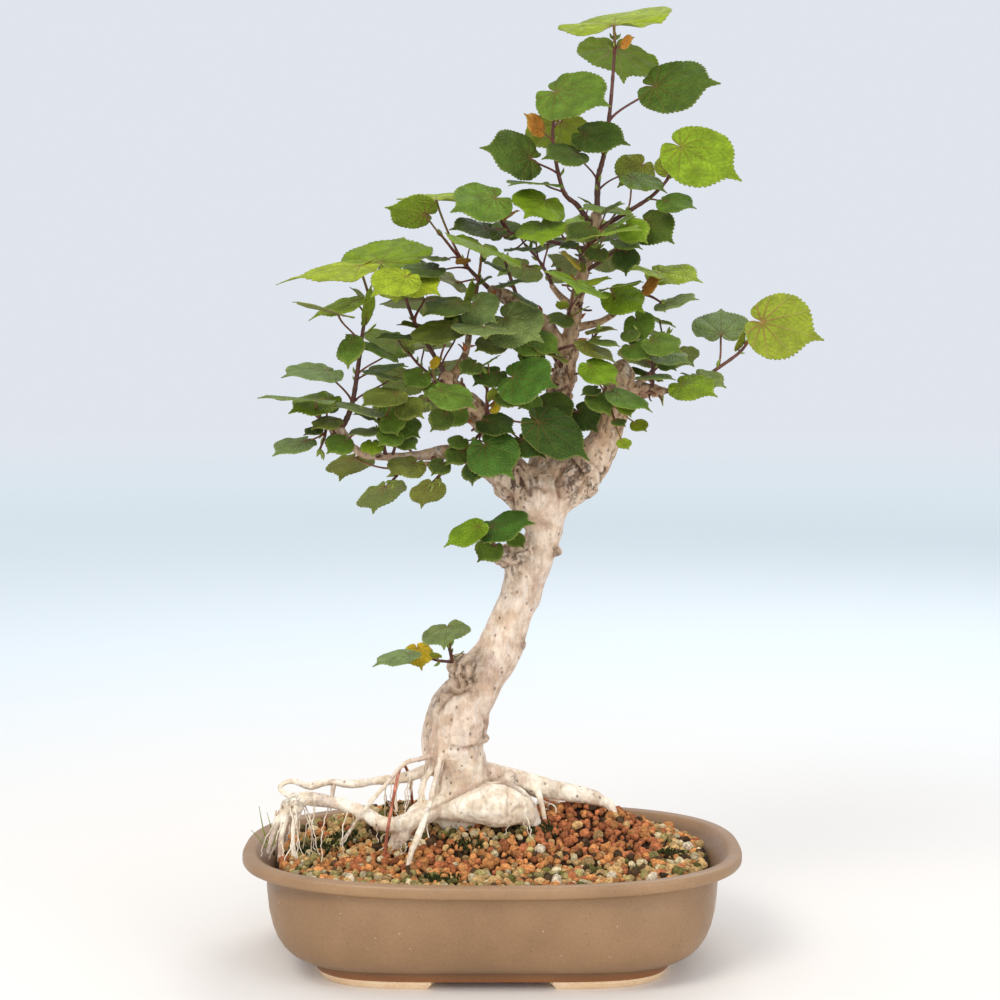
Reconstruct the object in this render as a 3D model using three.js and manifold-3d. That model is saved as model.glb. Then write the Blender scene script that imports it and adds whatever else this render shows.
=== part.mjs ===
// Sea hibiscus bonsai in a rounded oval pot. Millimetres, +Z up, front of the plant towards -Y.
import * as THREE from 'three';
import Module from 'manifold-3d';

const wasm = await Module();
wasm.setup();

// Pot: half width (X), half depth (Y) and height of each level, from the underside out and up to the rim.
const RIM = { halfWidth: 162, halfDepth: 114, top: 72 };
const LIP_WIDTH = 8.5;
const FLOOR_TOP = 16;
const FOOT_HEIGHT = 5;
const POT_OUTSIDE = [
  { z: FOOT_HEIGHT, halfWidth: 114, halfDepth: 86 },
  { z: 11.5, halfWidth: 115, halfDepth: 86.5 },
  { z: 12, halfWidth: 121, halfDepth: 91 },
  { z: 17, halfWidth: 130, halfDepth: 97 },
  { z: 25, halfWidth: 137.5, halfDepth: 101.5 },
  { z: 38, halfWidth: 143, halfDepth: 105 },
  { z: 63, halfWidth: 146.5, halfDepth: 107.5 },
  { z: 63.6, halfWidth: 159, halfDepth: 112 },
  { z: 65.5, halfWidth: RIM.halfWidth, halfDepth: RIM.halfDepth },
  { z: 70, halfWidth: RIM.halfWidth, halfDepth: RIM.halfDepth },
  { z: RIM.top, halfWidth: RIM.halfWidth - 1.6, halfDepth: RIM.halfDepth - 1.6 },
];
const POT_INSIDE = [
  { z: RIM.top, halfWidth: RIM.halfWidth - LIP_WIDTH, halfDepth: RIM.halfDepth - LIP_WIDTH },
  { z: 60, halfWidth: 140, halfDepth: 101 },
  { z: 36, halfWidth: 135, halfDepth: 97.5 },
  { z: FLOOR_TOP + 3, halfWidth: 119, halfDepth: 87 },
  { z: FLOOR_TOP, halfWidth: 112, halfDepth: 81 },
];
const OVAL_POWER = 2.6;
const LOW_OVAL = { power: 4.7, from: 12, to: 63 };
const POT_SIDES = 32;
const FOOT = { outerWidth: 113, outerDepth: 85, wall: 18, frontGap: 37, sideGap: 24, slant: 4 };
const DRAIN = { radius: 9, offset: 46, sides: 10 };

// Drain screens: square plates with four openings, on the floor over the drain holes.
const SCREEN = { side: 27, thickness: 1, opening: 8.5, bar: 2.5 };

// Clearance between pieces that touch, and how far a surface may move when slivers are removed.
const SEAT = 0.3;
const SIMPLIFY = 0.19;

// Soil: edge level, heaps on it and the size of the grains that its relief shows.
const SOIL_EDGE = 65.5;
const HEAPS = [
  { x: 0, y: 12, height: 24, spreadX: 76, spreadY: 56 },
  { x: 72, y: 22, height: 17, spreadX: 36, spreadY: 32 },
  { x: -72, y: 44, height: 13, spreadX: 52, spreadY: 34 },
];
const GRAIN_RELIEF = 1.5;
const SOIL_GAP = 0.6;
const SOIL_RINGS = [0.93, 0.82, 0.69, 0.54, 0.38, 0.2];

// Front view that places on the plant are read from: an eye in front of the pot that looks slightly down,
// and a square picture of 1000 by 1000 points.
const EYE = new THREE.Vector3(5, -1292, 390);
const EYE_PITCH = 0.072;
const PICTURE_MIDDLE = 500;
const PICTURE_FOCUS = 2000;

// Leaves.
const BLADE = 0.7;
const PETIOLE_RADIUS = 0.75;
const STAGGER = 7;
const PETIOLE_START = { first: 4, step: 2.5, count: 5 }; // nearest to the twig's base, in picture points
const PETIOLE_RISE = 0.9;
const NEAR = -1;
const FAR = 1;
const OUTLINE_FROM = { large: 37, medium: 23, small: 13 }; // leaf length from which each is used
const HALF_OUTLINES = {
  large: [[-0.09, 0.15], [0.05, 0.39], [0.33, 0.49], [0.62, 0.4], [0.84, 0.16]],
  medium: [[-0.08, 0.2], [0.14, 0.46], [0.52, 0.46], [0.83, 0.18]],
  small: [[-0.06, 0.28], [0.35, 0.5], [0.78, 0.25]],
  tiny: [[0, 0.34], [0.55, 0.4]],
};
const FOLD = 0.06;
const DROOP = 0.07;

const COLOURS = {
  pot: '#9c7f66',
  soil: '#a8683f',
  bark: '#d9c4ad',
  copper: '#a5563a',
  screen: '#33363a',
  leaf: '#56792c',
};

// Sight line of a picture point, met at a given depth (Y) of the plant.
function sightLine(across, down) {
  const right = (across - PICTURE_MIDDLE) / PICTURE_FOCUS;
  const up = (PICTURE_MIDDLE - down) / PICTURE_FOCUS;
  const cos = Math.cos(EYE_PITCH);
  const sin = Math.sin(EYE_PITCH);
  return new THREE.Vector3(right, cos + up * sin, up * cos - sin);
}

function seen(across, down, depth) {
  const line = sightLine(across, down);
  return line.multiplyScalar((depth - EYE.y) / line.y).add(EYE);
}

// Closed solid from points and triangles that face out.
function solid(points, triangles) {
  const mesh = new wasm.Mesh({
    numProp: 3,
    vertProperties: new Float32Array(points.flatMap((point) => point.toArray())),
    triVerts: new Uint32Array(triangles.flat()),
  });
  return new wasm.Manifold(mesh);
}

function join(solids) {
  return solids.reduce((whole, next) => whole.add(next));
}

function box(width, depth, height, x, y, z) {
  return wasm.Manifold.cube([width, depth, height], true).translate([x, y, z]);
}

// Solid from rings of the same number of points, with both ends closed by a fan to a middle point.
function ringed(rings) {
  const sides = rings[0].length;
  const points = rings.flat();
  const triangles = [];
  for (let ring = 0; ring + 1 < rings.length; ring += 1) {
    for (let side = 0; side < sides; side += 1) {
      const here = ring * sides + side;
      const next = ring * sides + (side + 1) % sides;
      triangles.push([here, next, next + sides], [here, next + sides, here + sides]);
    }
  }
  const middleOf = (ring) => ring
    .reduce((sum, point) => sum.add(point), new THREE.Vector3())
    .divideScalar(sides);
  const first = points.push(middleOf(rings[0])) - 1;
  const last = points.push(middleOf(rings.at(-1))) - 1;
  const lastStart = (rings.length - 1) * sides;
  for (let side = 0; side < sides; side += 1) {
    const next = (side + 1) % sides;
    triangles.push([first, next, side], [last, lastStart + side, lastStart + next]);
  }
  return solid(points, triangles);
}

// Tapering limb through the points, each ring square to the run. Flute says how far a side stands out.
function limb(path, sides, { grow = 0, flute = () => 1 } = {}) {
  const points = path.map((step) => step.at);
  const rings = [];
  let across = null;
  points.forEach((point, i) => {
    const before = points[Math.max(i - 1, 0)];
    const after = points[Math.min(i + 1, points.length - 1)];
    const run = after.clone().sub(before).normalize();
    if (across === null) {
      across = Math.abs(run.x) < 0.8 ? new THREE.Vector3(1, 0, 0) : new THREE.Vector3(0, 0, 1);
    }
    across = across.clone().addScaledVector(run, -across.dot(run)).normalize();
    const aside = run.clone().cross(across);
    const ring = [];
    for (let side = 0; side < sides; side += 1) {
      const angle = 2 * Math.PI * side / sides;
      const radius = path[i].radius * flute(angle, i) + grow;
      ring.push(point.clone()
        .addScaledVector(across, radius * Math.cos(angle))
        .addScaledVector(aside, radius * Math.sin(angle)));
    }
    rings.push(ring);
  });
  return ringed(rings);
}

// Oval ring of the pot's plan: the larger the power, the fuller its corners.
function ovalRing(halfWidth, halfDepth, height, sides = POT_SIDES, power = OVAL_POWER) {
  const ring = [];
  for (let side = 0; side < sides; side += 1) {
    const angle = 2 * Math.PI * side / sides;
    const x = halfWidth * Math.sign(Math.cos(angle)) * Math.abs(Math.cos(angle)) ** (2 / power);
    const y = halfDepth * Math.sign(Math.sin(angle)) * Math.abs(Math.sin(angle)) ** (2 / power);
    const z = typeof height === 'function' ? height(x, y) : height;
    ring.push(new THREE.Vector3(x, y, z));
  }
  return ring;
}

// Ring of one of the pot's levels, which are fuller at the corners near the table than at the rim.
function potRing({ z, halfWidth, halfDepth }, inset = 0, sides = POT_SIDES) {
  const share = THREE.MathUtils.clamp((z - LOW_OVAL.from) / (LOW_OVAL.to - LOW_OVAL.from), 0, 1);
  const power = THREE.MathUtils.lerp(LOW_OVAL.power, OVAL_POWER, share);
  return ovalRing(halfWidth - inset, halfDepth - inset, z, sides, power);
}

function footRing() {
  const high = FOOT_HEIGHT + 2;
  const level = (z) => ({ z, halfWidth: FOOT.outerWidth, halfDepth: FOOT.outerDepth });
  const outside = ringed([potRing(level(0), 2, 28), potRing(level(high), 0, 28)]);
  const inside = ringed([potRing(level(-1), FOOT.wall, 20), potRing(level(high + 1), FOOT.wall, 20)]);
  return outside.subtract(inside);
}

// Open arch under the pot, wider at the table than at the pot's underside.
function archCut(gap, reach, turned) {
  const corner = (along, z, away) => (turned
    ? new THREE.Vector3(away, along, z)
    : new THREE.Vector3(along, away, z));
  const section = (away) => {
    const ring = [
      corner(-gap - FOOT.slant, -1, away),
      corner(gap + FOOT.slant, -1, away),
      corner(gap, FOOT_HEIGHT + 3, away),
      corner(-gap, FOOT_HEIGHT + 3, away),
    ];
    return ring;
  };
  const rings = turned ? [section(-reach), section(reach)] : [section(reach), section(-reach)];
  return ringed(rings);
}

function makePot() {
  const feet = footRing()
    .subtract(archCut(FOOT.frontGap, RIM.halfDepth, false))
    .subtract(archCut(FOOT.sideGap, RIM.halfWidth, true));
  const drain = wasm.Manifold.cylinder(FLOOR_TOP + 4, DRAIN.radius, DRAIN.radius, DRAIN.sides);
  return ringed([...POT_OUTSIDE, ...POT_INSIDE].map((level) => potRing(level)))
    .add(feet)
    .subtract(drain.translate([-DRAIN.offset, 0, 0]))
    .subtract(drain.translate([DRAIN.offset, 0, 0]));
}

function makeScreen(x) {
  const level = FLOOR_TOP + SEAT + SCREEN.thickness / 2;
  let plate = box(SCREEN.side, SCREEN.side, SCREEN.thickness, x, 0, level);
  const step = (SCREEN.opening + SCREEN.bar) / 2;
  for (const dx of [-step, step]) {
    for (const dy of [-step, step]) {
      plate = plate.subtract(box(SCREEN.opening, SCREEN.opening, 3, x + dx, dy, level));
    }
  }
  return plate;
}

// Height of the soil, without its grains.
function soilLevel(x, y) {
  const oval = (Math.abs(x) / RIM.halfWidth) ** OVAL_POWER + (Math.abs(y) / RIM.halfDepth) ** OVAL_POWER;
  const fade = THREE.MathUtils.clamp((0.86 - oval) / 0.3, 0, 1);
  const heaped = HEAPS.reduce((sum, heap) => {
    const away = ((x - heap.x) / heap.spreadX) ** 2 + ((y - heap.y) / heap.spreadY) ** 2;
    return sum + heap.height * Math.exp(-away);
  }, 0);
  return SOIL_EDGE + heaped * fade;
}

function grain(x, y) {
  const wave = Math.sin(x * 12.9898 + y * 78.233) * 43758.5453;
  return GRAIN_RELIEF * (2 * (wave - Math.floor(wave)) - 1);
}

function makeSoil() {
  const wallAt = (z) => {
    const above = POT_INSIDE.findIndex((level) => level.z <= z);
    const high = POT_INSIDE[above - 1];
    const low = POT_INSIDE[above];
    const share = (z - low.z) / (high.z - low.z);
    return {
      z,
      halfWidth: THREE.MathUtils.lerp(low.halfWidth, high.halfWidth, share),
      halfDepth: THREE.MathUtils.lerp(low.halfDepth, high.halfDepth, share),
    };
  };
  const floor = POT_INSIDE.at(-1);
  const between = POT_INSIDE.slice(1, 4).reverse();
  const walls = [{ ...floor, z: FLOOR_TOP + SEAT }, ...between, wallAt(SOIL_EDGE - 1)];
  const rings = walls.map((level) => potRing(level, SOIL_GAP));
  const edge = walls.at(-1);
  for (const share of SOIL_RINGS) {
    const height = (x, y) => soilLevel(x, y) + grain(x, y);
    rings.push(ovalRing(edge.halfWidth * share, edge.halfDepth * share, height));
  }
  return ringed(rings);
}

// Grown wood: across, down, depth and radius of each step.
const TRUNK = [
  [462, 885, 6, 12], [462, 835, 5, 15], [462, 804, 2, 19.5], [464, 781, 1, 17.8], [459, 764, 0, 18.4],
  [454, 748, -1, 20], [457, 728, -2, 20.4], [463, 708, -3, 19.6], [473, 692, -3, 16.6], [483, 674, -3, 15.6],
  [497, 654, -2, 14.6], [505, 632, -1, 13.6], [513, 612, 0, 13], [519, 597, 1, 12.7], [523, 580, 2, 13.4],
  [529, 562, 2, 15], [538, 547, 2, 12.6], [543, 534, 1, 11.8], [543, 520, 1, 14.6], [542, 506, 0, 19],
  [543, 490, 0, 22.5], [546, 474, 0, 17],
];
const RIGHT_LIMB = [
  [548, 500, 0, 14], [572, 480, -2, 15], [592, 458, -4, 13], [605, 438, -6, 10.5], [612, 415, -7, 10],
  [617, 392, -8, 9.5], [621, 377, -8, 8.5], [622, 368, -8, 7.5],
];
const RIGHT_STUB = [[620, 394, -8, 6], [636, 391, -9, 5.5], [652, 391, -10, 4.2], [666, 391, -11, 3.2]];
const LEADER = [
  [544, 490, 2, 14], [549, 445, 4, 11], [553, 412, 4, 8], [562, 385, 5, 8.5], [566, 368, 5, 7],
  [571, 335, 4, 5.4], [575, 308, 5, 4.8], [581, 278, 6, 4.3], [588, 252, 7, 4], [594, 230, 8, 3.7],
  [597, 213, 8, 3.3],
];
const MIDDLE_LEFT_LIMB = [
  [530, 490, -4, 12], [508, 462, -10, 8], [494, 438, -14, 6.8], [482, 420, -16, 7], [472, 409, -18, 8],
  [458, 394, -20, 6], [450, 384, -20, 5.2], [446, 375, -20, 4.2],
];
const LOWER_LEFT_LIMB = [
  [524, 496, -6, 12], [502, 478, -10, 8.6], [486, 466, -12, 7], [470, 457, -14, 6], [450, 452, -16, 4.8],
  [424, 455, -18, 3.6], [400, 457, -20, 3], [376, 456, -22, 2.8], [360, 452, -24, 2.6], [345, 440, -26, 2.8],
  [338, 431, -27, 3.6], [334, 426, -27, 2.6],
];
const DEAD_TWIG = [[404, 458, -20, 2], [416, 465, -24, 1.7], [430, 464, -27, 1.6], [444, 471, -29, 1.3]];
const GNARLED_BRANCH = [
  [563, 352, 4, 4.5], [548, 327, -3, 5.2], [534, 316, -6, 4.4], [520, 306, -9, 5], [505, 296, -12, 3.9],
  [490, 289, -14, 3.4],
];
const INNER_TWIG = [[449, 386, -20, 3.4], [458, 368, -16, 2.6], [466, 352, -12, 2.3], [469, 335, -10, 2]];
const RIGHT_TWIG = [[570, 330, 4, 3.6], [584, 326, 0, 2.6], [600, 322, -4, 2.3], [614, 314, -8, 2]];
const BACK_TWIG = [[574, 318, 4, 3.4], [570, 306, 22, 2.6], [560, 296, 38, 2.2], [552, 286, 50, 1.8]];
const BACK_LEFT_TWIG = [[484, 424, -15, 3.6], [474, 410, 6, 2.8], [460, 396, 26, 2.3], [446, 388, 42, 1.9]];
const BACK_RIGHT_TWIG = [[613, 410, -7, 4], [620, 400, 14, 3], [632, 388, 32, 2.4], [646, 378, 48, 1.9]];
const KNOTS = [
  { at: [506, 556, -2], radius: 8 }, { at: [557, 552, -4], radius: 5 }, { at: [461, 668, -7], radius: 9.5 },
  { at: [466, 682, -8], radius: 7 }, { at: [519, 645, 0], radius: 5 }, { at: [584, 486, -6], radius: 8.5 },
  { at: [560, 470, -6], radius: 9 }, { at: [474, 412, -20], radius: 6 }, { at: [524, 478, -8], radius: 9 },
  { at: [440, 712, -12], radius: 6 }, { at: [484, 738, -8], radius: 5 },
];

// Roots: across, down, depth and radius. Their lower ends are in the soil.
const ROOTS = {
  backLeft: [
    [440, 766, 0, 6], [424, 771, 2, 4.2], [402, 778, 5, 3.4], [376, 781, 8, 3], [350, 784, 10, 2.8],
    [328, 782, 12, 2.6], [309, 786, 14, 2.4], [293, 781, 15, 2.1], [280, 786, 14, 2.1], [284, 793, 8, 2.1],
    [297, 797, 0, 2.2], [302, 802, -8, 2.2],
  ],
  frontLeft: [
    [450, 800, -8, 8], [428, 812, -18, 7], [404, 823, -24, 6], [383, 824, -24, 5], [360, 811, -21, 4.4],
    [338, 803, -17, 4.4], [312, 799, -14, 4.6], [297, 800, -13, 4.8], [284, 806, -12, 3.6],
  ],
  bunchLeft: [[294, 801, -12, 3.4], [281, 814, -11, 2.6], [274, 832, -12, 2.2], [268, 854, -13, 2]],
  bunchMiddle: [[292, 802, -12, 3.4], [285, 820, -15, 2.3], [281, 840, -18, 2.1], [280, 864, -20, 2]],
  bunchRight: [[302, 801, -13, 3.2], [295, 820, -16, 2.1], [293, 842, -21, 2], [295, 868, -24, 1.9]],
  thinDiagonal: [
    [436, 754, -12, 3], [420, 759, -18, 1.8], [404, 764, -20, 1.7], [385, 786, -25, 1.6],
    [369, 804, -28, 1.6], [352, 828, -18, 1.5], [340, 846, -6, 1.4], [334, 866, -2, 1.3],
  ],
  prop: [
    [446, 748, -14, 4], [441, 760, -20, 2.8], [436, 780, -23, 2.3], [430, 804, -24, 2.2],
    [420, 832, -24, 2.2], [411, 856, -22, 2], [408, 876, -20, 2],
  ],
  thinUpright: [[433, 765, -8, 2.4], [423, 784, -13, 1.6], [420, 806, -17, 1.6], [421, 818, -18, 1.6]],
  paleChunk: [
    [424, 806, -12, 5], [413, 816, -20, 5.5], [402, 834, -22, 6], [394, 852, -20, 5], [390, 872, -18, 4],
  ],
  right: [
    [478, 778, 0, 11], [502, 780, 4, 9.5], [526, 784, 7, 7.8], [546, 788, 9, 7], [566, 792, 11, 6],
    [584, 795, 12, 5.2], [600, 800, 13, 4], [611, 807, 14, 3], [618, 828, 15, 2.4],
  ],
  mound: [
    [436, 812, -14, 4.5], [454, 810, -16, 7.5], [474, 806, -18, 11.5], [495, 804, -18, 15],
    [512, 806, -16, 13.5], [525, 813, -12, 9], [535, 826, -8, 5],
  ],
  cutStub: [[503, 787, -10, 4.5], [510, 775, -15, 4]],
  uprightRight: [[538, 792, -2, 2.4], [542, 804, -5, 1.7], [545, 822, -6, 1.5], [546, 842, -6, 1.4]],
  backRight: [
    [480, 780, 12, 9], [512, 784, 24, 6], [540, 792, 34, 4.5], [562, 812, 42, 3.6], [572, 842, 46, 3],
  ],
  hangingA: [[334, 784, 11, 1.8], [332, 797, 9, 1.2], [331, 809, 8, 0.9]],
  hangingD: [[398, 780, 4, 1.8], [395, 794, -2, 1.2], [397, 812, -8, 1]],
};
const ROOT_SIDES = { frontLeft: 6, right: 7, mound: 8, paleChunk: 5, backLeft: 5 };

function woodPath(steps) {
  return steps.map(([across, down, depth, radius]) => ({ at: seen(across, down, depth), radius }));
}

// Trunk, limbs and roots in one, as they grew. Grow adds the clearance that holes round them need.
function makeTree(grow = 0) {
  const trunkFlute = (angle, step) => 1 + 0.045 * Math.sin(3 * angle + step * 0.35)
    + 0.025 * Math.sin(5 * angle - step * 0.6);
  const limbs = [
    limb(woodPath(TRUNK), 12, { grow, flute: trunkFlute }),
    limb(woodPath(RIGHT_LIMB), 8, { grow }),
    limb(woodPath(RIGHT_STUB), 6, { grow }),
    limb(woodPath(LEADER), 7, { grow }),
    limb(woodPath(MIDDLE_LEFT_LIMB), 7, { grow }),
    limb(woodPath(LOWER_LEFT_LIMB), 6, { grow }),
    limb(woodPath(GNARLED_BRANCH), 6, { grow }),
  ];
  for (const twig of [DEAD_TWIG, INNER_TWIG, RIGHT_TWIG, BACK_TWIG, BACK_LEFT_TWIG, BACK_RIGHT_TWIG]) {
    limbs.push(limb(woodPath(twig), 4, { grow }));
  }
  for (const knot of KNOTS) {
    const ball = wasm.Manifold.sphere(knot.radius + grow, 6);
    limbs.push(ball.translate(seen(...knot.at).toArray()));
  }
  for (const [name, steps] of Object.entries(ROOTS)) {
    limbs.push(limb(woodPath(steps), ROOT_SIDES[name] ?? 4, { grow }));
  }
  return join(limbs);
}

// Wire over the left root, both ends in the soil: across, down and depth.
const WIRE_RADIUS = 1;
const WIRE = [
  [416, 850, 34], [412, 800, 24], [409, 776, 14], [404, 765, 4], [400, 769, -8], [396, 784, -32],
  [392, 806, -36], [388, 828, -38], [385, 852, -36], [383, 876, -34],
];

function makeWire(grow = 0) {
  const path = WIRE.map((step) => ({ at: seen(...step), radius: WIRE_RADIUS }));
  return limb(path, 6, { grow });
}

// Leaf row: joint with the petiole and tip as picture points, length, which way the tip reaches, and lean,
// the angle that turns the upper face to the front. Depth moves the joint from its twig, away from the front.
function leaf(joint, tip, length, reach, lean, { depth = 7 * reach, width = 1 } = {}) {
  return { joint, tip, length, reach, lean, depth, width };
}

// Tip of a leaf of the given length whose joint and tip lie on their sight lines.
function tipOf(joint, row) {
  const line = sightLine(...row.tip).normalize();
  const toJoint = joint.clone().sub(EYE);
  const along = toJoint.dot(line);
  const miss = toJoint.lengthSq() - along * along;
  const reach = Math.sqrt(Math.max(row.length ** 2 - miss, 0));
  return EYE.clone().addScaledVector(line, along + row.reach * reach);
}

function leafFrame(joint, row) {
  const axis = tipOf(joint, row).sub(joint).normalize();
  const upright = new THREE.Vector3(0, 0, 1).addScaledVector(axis, -axis.z).normalize();
  const facing = row.tip[0] - row.joint[0] > -12 ? 1 : -1;
  const normal = upright.applyAxisAngle(axis, THREE.MathUtils.degToRad(row.lean) * facing);
  const side = normal.clone().cross(axis);
  return { axis, normal, side };
}

function halfOutline(length) {
  if (length >= OUTLINE_FROM.large) {
    return HALF_OUTLINES.large;
  }
  if (length >= OUTLINE_FROM.medium) {
    return HALF_OUTLINES.medium;
  }
  return length >= OUTLINE_FROM.small ? HALF_OUTLINES.small : HALF_OUTLINES.tiny;
}

// Heart-shaped blade with waved sides and, from its notch, the petiole down to the twig.
function makeLeaf(joint, base, row) {
  const { axis, normal, side } = leafFrame(joint, row);
  const half = halfOutline(row.length);
  const notch = PETIOLE_RADIUS / row.length;
  const right = half.map(([x, y], i) => ({ x, y: -y * row.width, wave: i % 2 ? 0.02 : -0.02 }));
  const left = half.map(([x, y], i) => ({ x, y: y * row.width, wave: i % 2 ? -0.02 : 0.02 })).reverse();
  const outline = [{ x: 0, y: -notch, wave: 0 }, ...right, { x: 1, y: 0, wave: 0 }, ...left,
    { x: 0, y: notch, wave: 0 }];
  const place = (x, y, lift) => {
    const droop = -DROOP * x * x - FOLD * Math.abs(y);
    return joint.clone()
      .addScaledVector(axis, x * row.length)
      .addScaledVector(side, y * row.length)
      .addScaledVector(normal, droop * row.length + lift);
  };
  const points = [];
  const triangles = [];
  const count = outline.length;
  outline.forEach(({ x, y, wave }) => points.push(place(x, y, wave * row.length + BLADE / 2)));
  outline.forEach(({ x, y, wave }, i) => {
    const atNotch = i === 0 || i === count - 1;
    points.push(atNotch ? place(0, 0, -BLADE) : place(x, y, wave * row.length - BLADE / 2));
  });
  const top = points.push(place(0.3, 0, BLADE / 2 + 0.1)) - 1;
  const under = points.push(place(0.3, 0, -BLADE / 2 - 0.1)) - 1;
  const low = (i) => (i === count - 1 ? count : count + i);
  for (let i = 0; i < count; i += 1) {
    triangles.push([top, i, (i + 1) % count]);
  }
  for (let i = 0; i + 1 < count; i += 1) {
    triangles.push([under, low(i + 1), low(i)]);
    if (i === 0) {
      triangles.push([0, count, low(1)], [0, low(1), 1]);
    } else if (i + 1 === count - 1) {
      triangles.push([i, low(i), count], [i, count, i + 1]);
    } else {
      triangles.push([i, low(i), low(i + 1)], [i, low(i + 1), i + 1]);
    }
  }
  addPetiole(points, triangles, [0, count - 1, count], { joint, base, axis, normal, side });
  return solid(dropUnused(points, triangles), triangles);
}

// Removes points that no triangle uses and renumbers the triangles in place.
function dropUnused(points, triangles) {
  const used = new Map();
  const kept = [];
  for (const triangle of triangles) {
    triangle.forEach((index, i) => {
      if (!used.has(index)) {
        used.set(index, kept.push(points[index]) - 1);
      }
      triangle[i] = used.get(index);
    });
  }
  return kept;
}

function addPetiole(points, triangles, mouth, { joint, base, axis, normal, side }) {
  const toBase = base.clone().sub(joint).normalize();
  const above = toBase.dot(normal) > 0;
  const elbow = joint.clone().addScaledVector(axis, -1.6).addScaledVector(normal, above ? 0.4 : -1.4);
  const stops = toBase.dot(axis) < -0.4 ? [base] : [elbow, base];
  let ring = mouth;
  stops.forEach((stop) => {
    const run = stop === base ? base.clone().sub(stops.length > 1 ? elbow : joint).normalize() : toBase;
    const across = side.clone().addScaledVector(run, -side.dot(run));
    const steady = across.length() > 0.25 ? across.normalize() : normal.clone().cross(run).normalize();
    const up = steady.clone().cross(run);
    const radius = stop === base ? PETIOLE_RADIUS * 0.6 : PETIOLE_RADIUS;
    const next = [
      stop.clone().addScaledVector(steady, -radius).addScaledVector(up, radius / 2),
      stop.clone().addScaledVector(steady, radius).addScaledVector(up, radius / 2),
      stop.clone().addScaledVector(up, -radius),
    ].map((point) => points.push(point) - 1);
    for (let k = 0; k < 3; k += 1) {
      const m = (k + 1) % 3;
      triangles.push([ring[k], ring[m], next[m]], [ring[k], next[m], next[k]]);
    }
    ring = next;
  });
  triangles.push(ring);
}

// Nearest place on a shoot's twigs to a leaf joint in the picture, and the petiole's base lower on that twig.
function twigPlace(twigs, [across, down], order) {
  let best = { gap: Infinity };
  for (const twig of twigs) {
    let run = 0;
    for (let i = 0; i + 1 < twig.length; i += 1) {
      const [ax, ay, az] = twig[i];
      const [bx, by, bz] = twig[i + 1];
      const span = Math.hypot(bx - ax, by - ay);
      const along = ((across - ax) * (bx - ax) + (down - ay) * (by - ay)) / span;
      const share = THREE.MathUtils.clamp(along / span, 0, 1);
      const gap = Math.hypot(ax + (bx - ax) * share - across, ay + (by - ay) * share - down);
      if (gap < best.gap) {
        best = { gap, depth: az + (bz - az) * share, twig, run: run + share * span };
      }
      run += span;
    }
  }
  const lowest = PETIOLE_START.first + PETIOLE_START.step * (order % PETIOLE_START.count);
  const run = Math.max(best.run - PETIOLE_RISE * best.gap, lowest);
  return { depth: best.depth, base: alongTwig(best.twig, run) };
}

// Point on a twig's middle line at a run from its base, in picture points.
function alongTwig(twig, run) {
  let left = run;
  for (let i = 0; i + 1 < twig.length; i += 1) {
    const [ax, ay, az] = twig[i];
    const [bx, by, bz] = twig[i + 1];
    const span = Math.hypot(bx - ax, by - ay);
    if (left <= span || i + 2 === twig.length) {
      return seen(ax, ay, az).lerp(seen(bx, by, bz), Math.min(left / span, 1));
    }
    left -= span;
  }
  return null;
}

const TWIG_RADIUS = { base: 1.9, tip: 1.3 };

function makeShoot({ twigs, leaves }) {
  const solids = twigs.map((twig, order) => {
    const path = twig.map((step, i) => {
      const share = i / (twig.length - 1);
      const scale = order === 0 ? 1 : 0.85;
      const radius = scale * THREE.MathUtils.lerp(TWIG_RADIUS.base, TWIG_RADIUS.tip, share);
      return { at: seen(...step), radius };
    });
    return limb(path, 3);
  });
  leaves.forEach((row, order) => {
    const { depth, base } = twigPlace(twigs, row.joint, order);
    const joint = seen(...row.joint, depth + row.depth + STAGGER * (order % 3 - 1));
    solids.push(makeLeaf(joint, base, row));
  });
  return join(solids);
}

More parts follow.
